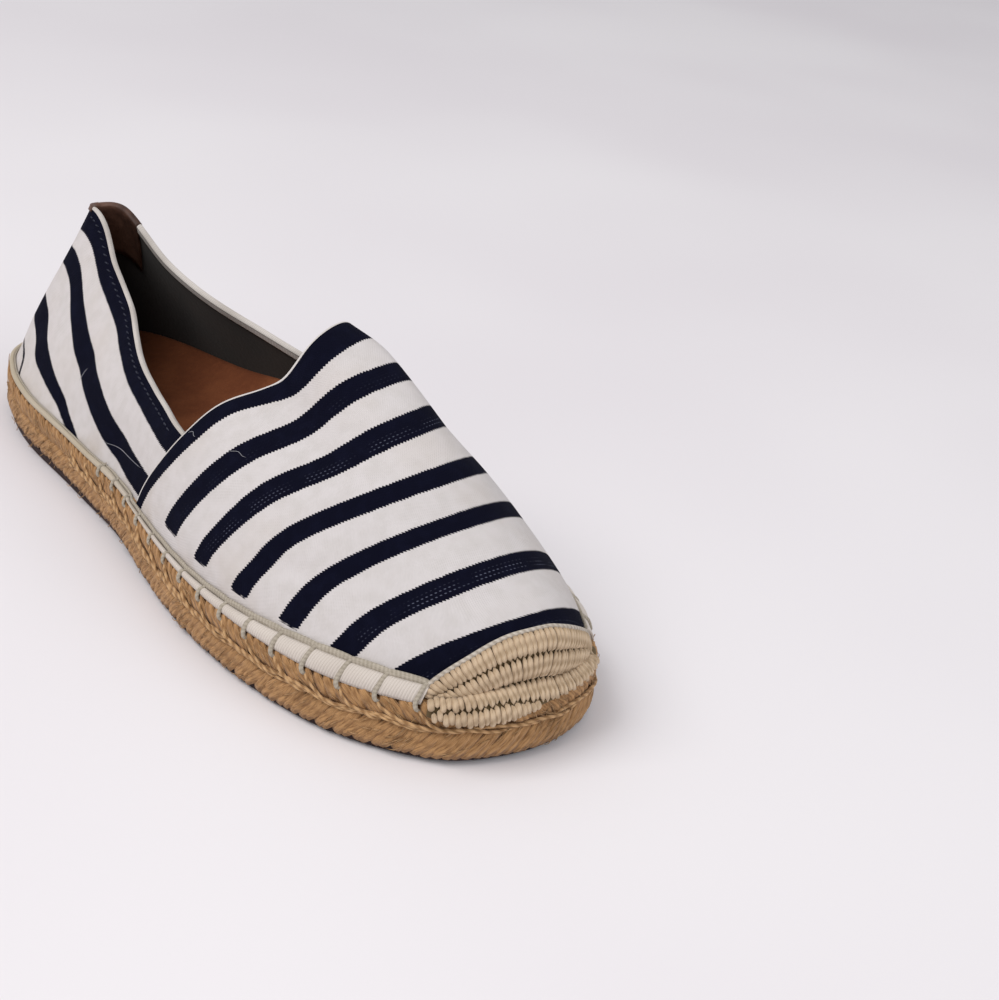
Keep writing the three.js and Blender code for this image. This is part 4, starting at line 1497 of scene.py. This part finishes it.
    def running_thread(self) -> None:
        """Makes the thread that runs along the tape's upper edge, hanging a little between its stitches."""
        share = np.linspace(self.start, self.end, 1300)
        front = self._front(share)
        least, more = self.hang
        rise = self._rise(share, more * front - least + least * self._block(share) * front)
        radius, distance = (mix(heel, toe, front) for heel, toe in self.running)
        path = LAST.skin(share, rise, distance - self._step(share))
        piece = tube("edge_thread", path, LAST.normal(share, rise), radius, 8, 0.55)
        dress(piece, Slot.TAPE, self.finishes.thread)

    def upright_threads(self) -> None:
        """Makes the threads that go down over the tape to the jute's side, where the tape isn't flat."""
        share = self.anchors[self._front(self.anchors) > self.least_front]
        lift = LAST.underside(LAST.foot_along(share))
        above_edge, distance = self.held
        rise = self._rise(share, above_edge)
        stops = [(LAST.skin(share, rise, distance - self._step(share)), LAST.normal(share, rise))]
        stops += [self._face(share, place, above) for place, above in self.over]
        for height, inset, lean in self.down:
            point, out = LAST.outline(share + lean / LAST.length, inset)
            stops.append((np.c_[point, height + lift], level(out)))
        piece = laid("upright_threads", *resample(stops, 16), *self.thread, 7)
        dress(piece, Slot.TAPE, self.finishes.thread)

    def build(self) -> None:
        """Makes every piece of the edge."""
        self.tape()
        self.running_thread()
        self.upright_threads()


@dataclass
class Sole:
    """The jute core, the slanted strands on its side, the long cords at mid height and the rubber.

    Args:
        finishes: The materials.
        pitch: How far apart the strands stand.
        middle: The height where the two rows meet.
        section: The core's corners, as inset and height.
        lower: The stops of a strand in the lower row, as height, inset and how far they lean along the sole.
        upper: The same for the upper row.
        uneven: How much a strand's place, its lean, its inset and its height differ.
        strand: Half of a strand's width and of its thickness.
        top: The height, the inset and the radius of the strand at the upper edge, and how far it wavers.
        cords: The name, the wave's length, its start and the height of each long cord.
        cord_radius: Half of a cord's width.
        cord_ends: How far round the long cords start and end.
        cord_inset: How far inside the widest line they lie, and how much that sways.
        cord_dip: How much their height sways, and how far ahead of the inset it does.
        binding_start: How far along the foot the binding cords start.
        wander: How far a binding cord's stops lie off their places, and how much of that also goes upward.
        binding: The stops of a binding cord, as height, inset and how far they lean along the sole.
        low: How high the jute's lower edge stands.
    """

    finishes: Finishes
    pitch: float = 2.7
    middle: float = 10.0
    section: tuple[tuple[float, float], ...] = (
        (15.0, 3.4), (2.2, 3.4), (1.5, 5.0), (1.2, 8.0), (1.5, 10.0),
        (1.2, 13.0), (1.6, 15.6), (3.0, 16.7), (15.0, 16.7), (15.0, 3.4),
    )
    lower: tuple[tuple[float, float, float], ...] = (
        (0.0, 1.9, -3.75), (2.0, 0.95, -2.5), (5.0, 0.8, 0.2),
        (8.2, 1.2, 2.5), (10.0, 1.7, 3.75), (10.8, 2.4, 4.5),
    )
    upper: tuple[tuple[float, float, float], ...] = (
        (9.4, 2.2, 3.75), (11.4, 1.25, 1.875), (13.4, 0.95, 0.0), (15.2, 1.2, -1.875), (16.3, 2.6, -3.75),
    )
    uneven: tuple[float, tuple[float, float], float, float] = (0.22, (0.8, 1.25), 0.12, 0.15)
    strand: tuple[float, float] = (1.75, 0.7)
    top: tuple[float, float, float, float] = (16.2, 2.9, 0.95, 0.15)
    cords: tuple[tuple[str, float, float, float], ...] = (
        ("long_cord", 21.2, 0.0, 10.0), ("second_cord", 26.5, 2.1, 10.5),
    )
    cord_radius: float = 0.5
    cord_ends: tuple[float, float] = (0.16, 0.84)
    cord_inset: tuple[float, float] = (0.35, 0.45)
    cord_dip: tuple[float, float] = (0.8, 0.8)
    binding_start: float = 0.3
    wander: tuple[float, float] = (0.5, 0.5)
    binding: tuple[tuple[float, float, float], ...] = (
        (15.4, 1.3, 0.0), (13.6, 0.1, 2.2), (11.8, -0.05, 5.0),
        (10.5, 0.0, 8.0), (10.0, 0.1, 11.5), (10.3, 1.5, 15.0),
    )
    low: Table = field(default_factory=lambda: {
        "along": (0.0, 0.1, 0.3, 0.42, 0.55, 1.0), "up": (2.6, 3.3, 3.3, 2.0, 0.9, 0.9)})

    def core(self) -> None:
        """Makes the closed core behind the strands, whose darker finish is painted shade in the gaps between
        them.
        """
        grid = Lattice("jute_core_painted_shade", 300, 16)
        places = np.linspace(0, 1, len(self.section))
        inset, height = (np.interp(grid.v, places, column) for column in zip(*self.section))
        points, _ = LAST.beside(grid.u, inset, height)
        grid.place(points).paint(run=grid.u * LAST.length, turn=grid.v).close()
        dress(grid.piece, Slot.JUTE, self.finishes.core, replaces=("jute_sole",))

    def _row(self, name: str, stops: tuple[tuple[float, float, float], ...], floor: bool) -> None:
        """Lays one row of slanted strands round the side.

        Args:
            name: The piece's name.
            stops: For each stop of a strand its height, its inset and how far it leans along the sole.
            floor: Whether its lower end follows the jute's lower edge.
        """
        rng = np.random.default_rng(SEEDS[name])
        count = round(LAST.length / self.pitch)
        shift, leans, sideways, upward = self.uneven
        share = (np.arange(count) + rng.uniform(-shift, shift, count)) / count
        lean_each = rng.uniform(*leans, count)
        placed = []
        for height, inset, lean in stops:
            place = share + lean * lean_each / LAST.length
            point, out = LAST.outline(place, inset + rng.uniform(-sideways, sideways, count))
            along = LAST.along(point[:, 1])
            if floor:
                reach = (self.middle - height) / self.middle
                height = self.middle - reach * (self.middle - smooth(self.low, along, "up"))
            height = height + LAST.underside(along) + rng.uniform(-upward, upward, count)
            placed.append((np.c_[point, height], level(out)))
        dress(laid(name, *resample(placed, 10), *self.strand), Slot.JUTE, self.finishes.jute)

    def strands(self) -> None:
        """Makes the lower and upper rows, which slant against each other."""
        self._row("lower_strands", self.lower, True)
        self._row("upper_strands", self.upper, False)

    def top_strand(self) -> None:
        """Makes the strand that closes the jute's upper edge, under the tape."""
        share = np.linspace(0, 1, 900)
        height, inset, radius, waver = self.top
        path, out = LAST.beside(share, inset, height + waver * np.sin(share * LAST.length))
        dress(tube("top_strand", path, out, radius, 8, tapered=False), Slot.JUTE, self.finishes.cord)

    def long_cords(self) -> None:
        """Lays the thin cords along the middle of the side, which dip between the strands."""
        share = np.linspace(*self.cord_ends, 1100)
        inset, sway = self.cord_inset
        dip, ahead = self.cord_dip
        for name, wave, start, height in self.cords:
            turn = share * LAST.length * math.tau / wave + start
            path, out = LAST.beside(share, inset - sway * np.sin(turn), height + dip * np.sin(turn + ahead))
            dress(tube(name, path, out, self.cord_radius, 7), Slot.JUTE, self.finishes.cord)

    def binding_cords(self) -> None:
        """Makes the thin cords that run down slantwise from the tape and then along the side."""
        share = Edge(self.finishes).anchors
        share = share[LAST.foot_along(share) > self.binding_start]
        rng = np.random.default_rng(SEEDS["cord_wander"])
        most, upward = self.wander
        placed = []
        for height, inset, lean in self.binding:
            wander = rng.uniform(-most, most, len(share))
            placed.append(LAST.beside(share + (lean + wander) / LAST.length, inset, height + upward * wander))
        piece = laid("binding_cords", *resample(placed, 20), self.cord_radius, self.cord_radius)
        dress(piece, Slot.JUTE, self.finishes.cord)

    def rubber(self) -> None:
        """Gives the rubber its finish."""
        node = bpy.data.objects["outsole_rubber"]
        node.data.materials.clear()
        node.data.materials.append(self.finishes.rubber)

    def build(self) -> None:
        """Makes every piece of the sole."""
        self.core()
        self.strands()
        self.top_strand()
        self.long_cords()
        self.binding_cords()
        self.rubber()


@dataclass
class Insole:
    """The suede sock, cupped up along the walls and banked under the arch.

    Args:
        finishes: The materials.
        clearance: The room between it and the upper's wall.
        dish: How hollow it lies in the middle.
        board: Its thickness.
        lift: How far its middle lies above the form's own thickness.
        ends: How far round its two ends lie.
        bank: How quickly it rises towards its sides, where more is later.
        form: Its height above the upper's foot, and how far each side is cupped up.
    """

    finishes: Finishes
    clearance: float = 0.6
    dish: float = 0.7
    board: float = 1.4
    lift: float = 0.4
    ends: tuple[float, float] = (0.002, 0.498)
    bank: float = 2.5
    form: Table = field(default_factory=lambda: {
        "along": (0.0, 0.06, 0.15, 0.3, 0.42, 0.55, 0.68, 0.8, 1.0),
        "thickness": (2.0, 3.5, 5.5, 6.0, 6.0, 4.5, 2.2, 2.0, 2.0),
        "outer": (0.0, 0.8, 2.4, 3.4, 3.4, 2.4, 0.5, 0.0, 0.0),
        "inner": (0.0, 0.8, 3.2, 8.6, 13.5, 9.0, 1.0, 0.0, 0.0),
    })

    def _height(self, along: Array) -> Array:
        """Gives how high the sock stands in the middle."""
        return LAST.seat(along) + smooth(self.form, along, "thickness")

    def build(self) -> None:
        """Makes the insole."""
        grid = Lattice("suede_insole", 150, 40)
        place = (1 - np.cos(grid.u * math.pi)) / 2
        half = mix(*self.ends, place * 0.5 + grid.u * 0.5)
        inward = -QUARTER_STEP - QUARTER_WALL - self.clearance
        sides, cups = [], []
        for share, side in ((half, "outer"), (1 - half, "inner")):
            along = LAST.foot_along(share)
            cups.append(smooth(self.form, along, side))
            sides.append(LAST.skin(share, LAST.rise_at(share, self._height(along) + cups[-1]), inward))
        points = mix(*sides, grid.v[:, None])
        hollow = self.dish * np.sin(math.pi * grid.v) * np.sin(math.pi * grid.u)
        bank = np.where(grid.v > 0.5, cups[1], cups[0]) * np.abs(2 * grid.v - 1) ** self.bank
        points[:, 2] = self._height(LAST.along(points[:, 1])) + self.lift - hollow + bank
        piece = grid.place(points).thicken(self.board).piece
        dress(piece, Slot.INSOLE, self.finishes.suede, replaces=("insole",))


@dataclass
class ToeCap:
    """The crocheted cap: its ground, its rows of upright stitches and the thin cord along its edge.

    Args:
        finishes: The materials.
        outer_rows: Where the rows of stitches end on the outer side, as shares of the cap's depth.
        inner_rows: The same on the inner side.
        rows_change: Between which places across the cap the rows change from one to the other.
        least_row: The lowest row that still gets stitches.
        spacing: How far apart the stitches stand.
        first: How far from the corner the first one stands.
        stitch: Half of a ply's width and of its thickness.
        plies: How far each ply lies from the stitch's middle.
        slant: How far a ply leans from its top to its foot.
        lap: How far a ply reaches over the next row.
        bow: How far a ply bows out, in the first row, at most, and as a share of the row's height.
        square: How squarely it bows, where less is squarer.
        off_ground: How far its ends stand off the ground.
        cord: The edge cord's depth below the edge, its distance off the ground and its radius.
        distance: How far the ground stands off the last.
        ground: How thick the ground is, and how wide its cloth is.
        columns: How many places across are worked out.
        depth_steps: How many places down are worked out.
        corners: How far round the cap's corners lie.
        centre: Where along the foot the rays start from, and how far above the upper's foot.
        upper_steps: The guides on the last, as shares of the way from the edge to the foot.
        lower_steps: The guides below it, as their inset and their share of the way down the skirt.
        skirt_top: How high the skirt starts.
        rounds: How often the face is evened out across and down, and its depths.
        edge: Where along the foot the cap's edge lies, by its place across.
        skirt: How low the skirt reaches, and how far it is set in.
    """

    finishes: Finishes
    outer_rows: tuple[float, ...] = (0.0, 0.24, 0.5, 0.76, 1.0)
    inner_rows: tuple[float, ...] = (0.0, 0.28, 0.64, 1.0, 1.3)
    rows_change: tuple[float, float] = (0.3, 0.55)
    least_row: float = 1.7
    spacing: float = 2.8
    first: float = 1.2
    stitch: tuple[float, float] = (0.84, 0.66)
    plies: tuple[float, float] = (-0.62, 0.62)
    slant: float = 0.8
    lap: float = 0.45
    bow: tuple[float, float, float] = (0.3, 0.8, 0.16)
    square: float = 0.7
    off_ground: float = 0.2
    cord: tuple[float, float, float] = (0.05, 0.25, 0.62)
    distance: float = 0.5
    ground: tuple[float, float] = (0.4, 90.0)
    columns: int = 121
    depth_steps: int = 60
    corners: tuple[float, float] = (0.449, 0.551)
    centre: tuple[float, float] = (0.9, 5.0)
    upper_steps: tuple[float, ...] = (0.0, 0.15, 0.3, 0.45, 0.6, 0.75, 0.88)
    lower_steps: tuple[tuple[float, float], ...] = ((1.5, 0.0), (0.2, 0.35), (-0.2, 0.7), (-0.15, 1.0))
    skirt_top: float = 18.0
    rounds: tuple[int, int, int] = (3, 30, 4)
    edge: Table = field(default_factory=lambda: {
        "along": (0.0, 0.2, 0.5, 0.75, 0.9, 1.1, 1.3, 1.55, 1.8, 2.0),
        "station": (0.936, 0.935, 0.936, 0.936, 0.945, 0.957, 0.958, 0.953, 0.953, 0.955),
    })
    skirt: Table = field(default_factory=lambda: {
        "along": (0.0, 0.1, 0.3, 0.42, 0.55, 0.8, 1.0),
        "low": (14.4, 13.0, 12.8, 14.4, 15.8, 16.4, 17.2),
        "inset": (0.0, 0.0, 0.0, 0.1, 0.4, 0.8, 2.0),
    })

    def __post_init__(self) -> None:
        """Lays out the cap's face, by its place across and its depth below the edge."""
        j = np.linspace(0, 1, self.columns)
        foot_share = mix(*self.corners, j)
        foot = LAST.point(foot_share, 0.0)
        inside = np.array([foot[:, 0].mean(), LAST.y_of(self.centre[0]), foot[:, 2].mean() + self.centre[1]])
        fine = through(self._guides(j, foot_share, foot, inside), 160)
        depth = lengths(fine, 1)
        across_rounds, down_rounds, depth_rounds = self.rounds
        self.total = softened(depth[:, -1], depth_rounds)
        share_down = np.linspace(0, 1, self.depth_steps)
        columns = [[np.interp(share_down * run[-1], run, values) for values in column.T]
                   for run, column in zip(depth, fine)]
        face = np.array(columns).transpose(0, 2, 1)
        self.face = softened(softened(face, across_rounds, 0), down_rounds, 1)
        outward = unit(np.cross(np.gradient(self.face, axis=1), np.gradient(self.face, axis=0)))
        self.outward = outward * np.sign((outward * (self.face - inside)).sum(axis=-1, keepdims=True))

    def _guides(self, j: Array, foot_share: Array, foot: Array, inside: Array) -> Array:
        """Finds a few points down each column, on the last and then on the skirt over the jute.

        Args:
            j: The columns' places across.
            foot_share: How far round each one's foot lies.
            foot: The points there.
            inside: A point inside the toe.

        Returns:
            The points, by column and then by step.
        """
        across = 2 * j
        top = LAST.point(*LAST.over(smooth(self.edge, across, "station"), across))
        form = self._form()
        steps = [self._onto(form, inside, mix(top, foot, t)) for t in self.upper_steps]
        rise = LAST.underside(LAST.foot_along(foot_share))
        low = smooth(self.skirt, j, "low")
        aside = smooth(self.skirt, j, "inset")
        for inset, reach in self.lower_steps:
            point, _ = LAST.outline(foot_share, inset + aside)
            steps.append(np.c_[point, mix(self.skirt_top, low, reach) + rise])
        return np.stack(steps, 1)

    @staticmethod
    def _onto(form: BVHTree, inside: Array, goals: Array) -> Array:
        """Moves points onto the toe, along lines from inside it."""
        hits = []
        for goal in goals:
            hit = form.ray_cast(Vector(inside), Vector(goal - inside).normalized())[0]
            hits.append(tuple(hit if hit is not None else form.find_nearest(Vector(goal))[0]))
        return np.array(hits)

    @staticmethod
    def _form() -> BVHTree:
        """Builds the toe's outer face for rays from inside the toe."""
        share = np.linspace(0.4, 0.6, 240)
        rise = np.linspace(0, 1, 48)
        points = LAST.point(share[:, None], rise[None, :])
        index = np.arange(points.shape[0] * points.shape[1]).reshape(points.shape[:2])
        corners = (index[:-1, :-1], index[:-1, 1:], index[1:, 1:], index[1:, :-1])
        faces = np.stack([c.ravel() for c in corners], 1)
        return BVHTree.FromPolygons(points.reshape(-1, 3).tolist(), faces.tolist())

    def _depth(self, j: Array) -> Array:
        """Gives how far down the cap reaches at places across."""
        return np.interp(j, np.linspace(0, 1, self.columns), self.total)

    def at(self, j: Array, depth: Array) -> tuple[Array, Array]:
        """Finds points on the cap's face.

        Args:
            j: The place across, from 0 at the outer corner to 1 at the inner one.
            depth: Millimetres below the edge.

        Returns:
            The points and the directions outward.
        """
        column = np.clip(j, 0, 1) * (self.columns - 1)
        step = np.clip(depth / self._depth(j), 0, 1) * (self.depth_steps - 1)
        a = np.minimum(column.astype(int), self.columns - 2)
        b = np.minimum(step.astype(int), self.depth_steps - 2)
        s = (column - a)[..., None]
        t = (step - b)[..., None]

        def read(grid: Array) -> Array:
            """Reads between four neighbours of a grid."""
            near = mix(grid[a, b], grid[a, b + 1], t)
            far = mix(grid[a + 1, b], grid[a + 1, b + 1], t)
            return mix(near, far, s)

        return read(self.face), unit(read(self.outward))

    def backing(self) -> None:
        """Makes the cloth behind the stitches, whose dark finish is painted shade in the gaps between them.
        """
        grid = Lattice("toe_cap_ground_painted_shade", 120, 40)
        thickness, width = self.ground
        j = mix(0.002, 0.998, grid.u)
        points, outs = self.at(j, (1 - grid.v) * self._depth(j))
        grid.place(points + outs * self.distance).paint(run=grid.u * width, turn=grid.v)
        piece = grid.thicken(thickness).piece
        dress(piece, Slot.CROCHET, self.finishes.crochet_ground_painted_shade, replaces=("toe_cap",))

    def crochet(self) -> None:
        """Makes the rows of upright stitches, each of two plies."""
        fine = np.linspace(0.004, 0.96, 400)
        total = self._depth(fine)
        change = ramp(fine, *self.rows_change)
        bounds = [np.minimum(mix(a, b, change), 1.0) for a, b in zip(self.outer_rows, self.inner_rows)]
        t = np.linspace(0, 1, 8)
        first_bow, most_bow, bow_share = self.bow
        paths, outs = [], []
        for number, (highs, lows) in enumerate(zip(bounds, bounds[1:])):
            line, _ = self.at(fine, total * (highs + lows) / 2)
            run = lengths(line)
            first = self.first + self.spacing / 2 * (number % 2)
            for place in np.arange(first, run[-1] - 1.0, self.spacing):
                middle, room, upper, lower = (np.interp(place, run, v) for v in (fine, total, highs, lows))
                per_mm = np.interp(place + 0.5, run, fine) - np.interp(place - 0.5, run, fine)
                tall = room * (lower - upper)
                if tall < self.least_row:
                    continue
                bow = first_bow if number == 0 else min(most_bow, bow_share * tall)
                lift = self.distance + self.off_ground + bow * np.sin(math.pi * t) ** self.square
                for side in self.plies:
                    j = middle + (side + self.slant * (t - 0.5)) * per_mm
                    point, out = self.at(j, room * mix(upper, lower, t) + self.lap * t)
                    paths.append(point + out * lift[:, None])
                    outs.append(out)
        piece = laid("crochet_stitches", np.array(paths), np.array(outs), *self.stitch, 7)
        dress(piece, Slot.CROCHET, self.finishes.crochet)

    def edge_cord(self) -> None:
        """Makes the pale cord along the cap's edge."""
        j = np.linspace(0.0, 1.0, 300)
        depth, off_ground, radius = self.cord
        point, out = self.at(j, np.full(j.shape, depth))
        piece = tube("cap_edge_cord", point + out * (self.distance + off_ground), out, radius, 8)
        dress(piece, Slot.CROCHET, self.finishes.edge_cord)

    def build(self) -> None:
        """Makes every piece of the cap."""
        self.backing()
        self.crochet()
        self.edge_cord()


@dataclass
class PulledThreads:
    """Thin pale threads that have come loose across the stripes, two on the quarter and two on the vamp.

    Args:
        finishes: The materials.
        radius: Half of a thread's width.
        lift: How far a thread stands off the cloth, at its ends and more in its middle.
        curl: How far a thread sways, and how many radians of a wave it shows.
        threads: Where each one starts and ends, as along and rise, and how far out the cloth lies there.
    """

    finishes: Finishes
    radius: float = 0.075
    lift: tuple[float, float] = (0.1, 0.25)
    curl: tuple[float, float] = (0.008, 5.0)
    threads: tuple[tuple[tuple[float, float], tuple[float, float], float], ...] = (
        ((0.361, 0.08), (0.467, 0.14), -QUARTER_STEP),
        ((0.243, 0.22), (0.239, 0.29), -QUARTER_STEP),
        ((0.501, 0.37), (0.512, 0.39), 0.0),
        ((0.552, 0.44), (0.568, 0.48), 0.0),
    )

    def build(self) -> None:
        """Makes the threads, each held at both ends by the cloth."""
        t = np.linspace(0, 1, 12)
        paths, outs = [], []
        for start, end, face in self.threads:
            along = mix(start[0], end[0], t)
            rise = mix(start[1], end[1], t) + self.curl[0] * np.sin(t * self.curl[1])
            share = LAST.foot_share(True, along)
            paths.append(LAST.skin(share, rise, face + self.lift[0] + self.lift[1] * np.sin(math.pi * t)))
            outs.append(LAST.normal(share, rise))
        piece = laid("pulled_threads", np.array(paths), np.array(outs), self.radius, self.radius, 5)
        dress(piece, Slot.CANVAS, self.finishes.lint)


@dataclass
class Fibres:
    """Fine fibres that lie over the jute's strands and stand out from them a little.

    Args:
        finishes: The materials.
        count: How many there are.
        radius: Half of a fibre's width.
        middle: The height where the strands' slant changes.
        heights: Between which heights their middles lie.
        limits: Between which heights they stay.
        lengths: How short and how long they are.
        slope: How steep they lie, and how much that differs.
        lift: How far they stand out.
        inset: How far inside the widest line they start.
    """

    finishes: Finishes
    count: int = 420
    radius: float = 0.11
    middle: float = 10.2
    heights: tuple[float, float] = (2.2, 15.6)
    limits: tuple[float, float] = (1.8, 16.4)
    lengths: tuple[float, float] = (3.5, 10.0)
    slope: tuple[float, float] = (0.72, 0.3)
    lift: tuple[float, float] = (0.1, 0.5)
    inset: float = 0.25

    def build(self) -> None:
        """Makes the fibres."""
        rng = np.random.default_rng(SEEDS["fibre_places"])
        share = rng.uniform(0, 1, self.count)
        height = rng.uniform(*self.heights, self.count)
        length = rng.uniform(*self.lengths, self.count)
        steep, spread = self.slope
        slope = np.where(height < self.middle, steep, -steep) + rng.normal(0, spread, self.count)
        t = np.linspace(0, 1, 7)
        place = share[:, None] + (t - 0.5) * (length * np.cos(slope))[:, None] / LAST.length
        lift = rng.uniform(*self.lift, self.count)[:, None] ** 1.5 * np.sin(math.pi * t)
        z = height[:, None] + (t - 0.5) * (length * np.sin(slope))[:, None]
        paths, outward = LAST.beside(place, self.inset - lift, np.clip(z, *self.limits))
        piece = laid("loose_fibres", paths, outward, self.radius, self.radius, 4)
        dress(piece, Slot.JUTE, self.finishes.cord)


@dataclass
class Studio:
    """The pale floor, the soft lights and the camera."""

    azimuth: float = -43.69
    elevation: float = 26.89
    roll: float = 8.09
    distance: float = 485.35
    target: tuple[float, float, float] = (43.07, -58.49, 30.0)
    focal_pixels: float = 1693.14
    picture_width: int = 999
    sensor: float = 36.0

    def camera(self) -> None:
        """Makes the camera at the photograph's angle."""
        data = bpy.data.cameras.new("camera")
        data.sensor_fit = "HORIZONTAL"
        data.sensor_width = self.sensor
        data.lens = self.focal_pixels * self.sensor / self.picture_width
        data.clip_start, data.clip_end = 0.01, 20.0
        camera = bpy.data.objects.new("camera", data)
        bpy.context.collection.objects.link(camera)
        turn, tilt, roll = (math.radians(a) for a in (self.azimuth, self.elevation, self.roll))
        back = Vector((math.sin(turn) * math.cos(tilt), -math.cos(turn) * math.cos(tilt), math.sin(tilt)))
        right = Vector((math.cos(turn), math.sin(turn), 0))
        up = back.cross(right)
        across = right * math.cos(roll) + up * math.sin(roll)
        above = up * math.cos(roll) - right * math.sin(roll)
        place = (Vector(self.target) + back * self.distance) * METRES
        rows = [(across[k], above[k], back[k], place[k]) for k in range(3)] + [(0, 0, 0, 1)]
        camera.matrix_world = Matrix(rows)
        bpy.context.scene.camera = camera

    def floor(self) -> None:
        """Makes the pale floor."""
        bpy.ops.object.select_all(action="DESELECT")
        bpy.ops.mesh.primitive_plane_add(size=12)
        floor = bpy.context.active_object
        floor.name = "floor"
        g = Graph("pale_floor")
        tone = g.noise(3, 2).step(0.3, 0.7)
        colour = g.blend(tone, srgb(223, 218, 221), srgb(229, 225, 227))
        floor.data.materials.append(g.finish(colour, 0.9, Specular_IOR_Level=0.1))
        floor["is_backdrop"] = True

    def _panel(self, name: str, place: tuple[float, float, float], size: float, power: float,
               colour: tuple[float, float, float]) -> None:
        """Hangs one soft light that looks at the shoe."""
        data = bpy.data.lights.new(name, "AREA")
        data.shape, data.size = "SQUARE", size
        data.energy, data.color = power, colour
        light = bpy.data.objects.new(name, data)
        bpy.context.collection.objects.link(light)
        light.location = place
        light.rotation_euler = (Vector((0, 0, 0.03)) - Vector(place)).to_track_quat("-Z", "Y").to_euler()

    def light(self) -> None:
        """Hangs the lights and sets the surroundings."""
        self._panel("key", (-0.9, 0.2, 1.3), 1.0, 15.0, (1.0, 0.985, 0.97))
        self._panel("fill", (0.3, -1.4, 0.9), 1.4, 7.0, (0.97, 0.985, 1.0))
        world = bpy.data.worlds.new("surroundings")
        world.use_nodes = True
        background = world.node_tree.nodes["Background"]
        background.inputs["Color"].default_value = (0.96, 0.97, 1.0, 1.0)
        background.inputs["Strength"].default_value = 0.62
        bpy.context.scene.world = world
        bpy.context.scene.view_settings.view_transform = "Standard"

    def build(self) -> None:
        """Makes the studio."""
        self.camera()
        self.floor()
        self.light()


def plain(box: object) -> list[list[float]]:
    """Turns a box into plain lists of numbers."""
    return [[float(c) for c in corner] for corner in box]


def main() -> None:
    """Builds the studio and the shoe, and reports each piece."""
    logging.basicConfig(level=logging.INFO, format="%(name)s: %(message)s")
    Studio().build()
    finishes = Finishes()
    for builder in (Upper, Collar, Edge, Sole, Insole, ToeCap, PulledThreads, Fibres):
        builder(finishes).build()
    faces = sum(len(o.data.polygons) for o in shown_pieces() if o.type == "MESH")
    log.info("all pieces: %d faces", faces)


if __name__ == "__main__":
    main()
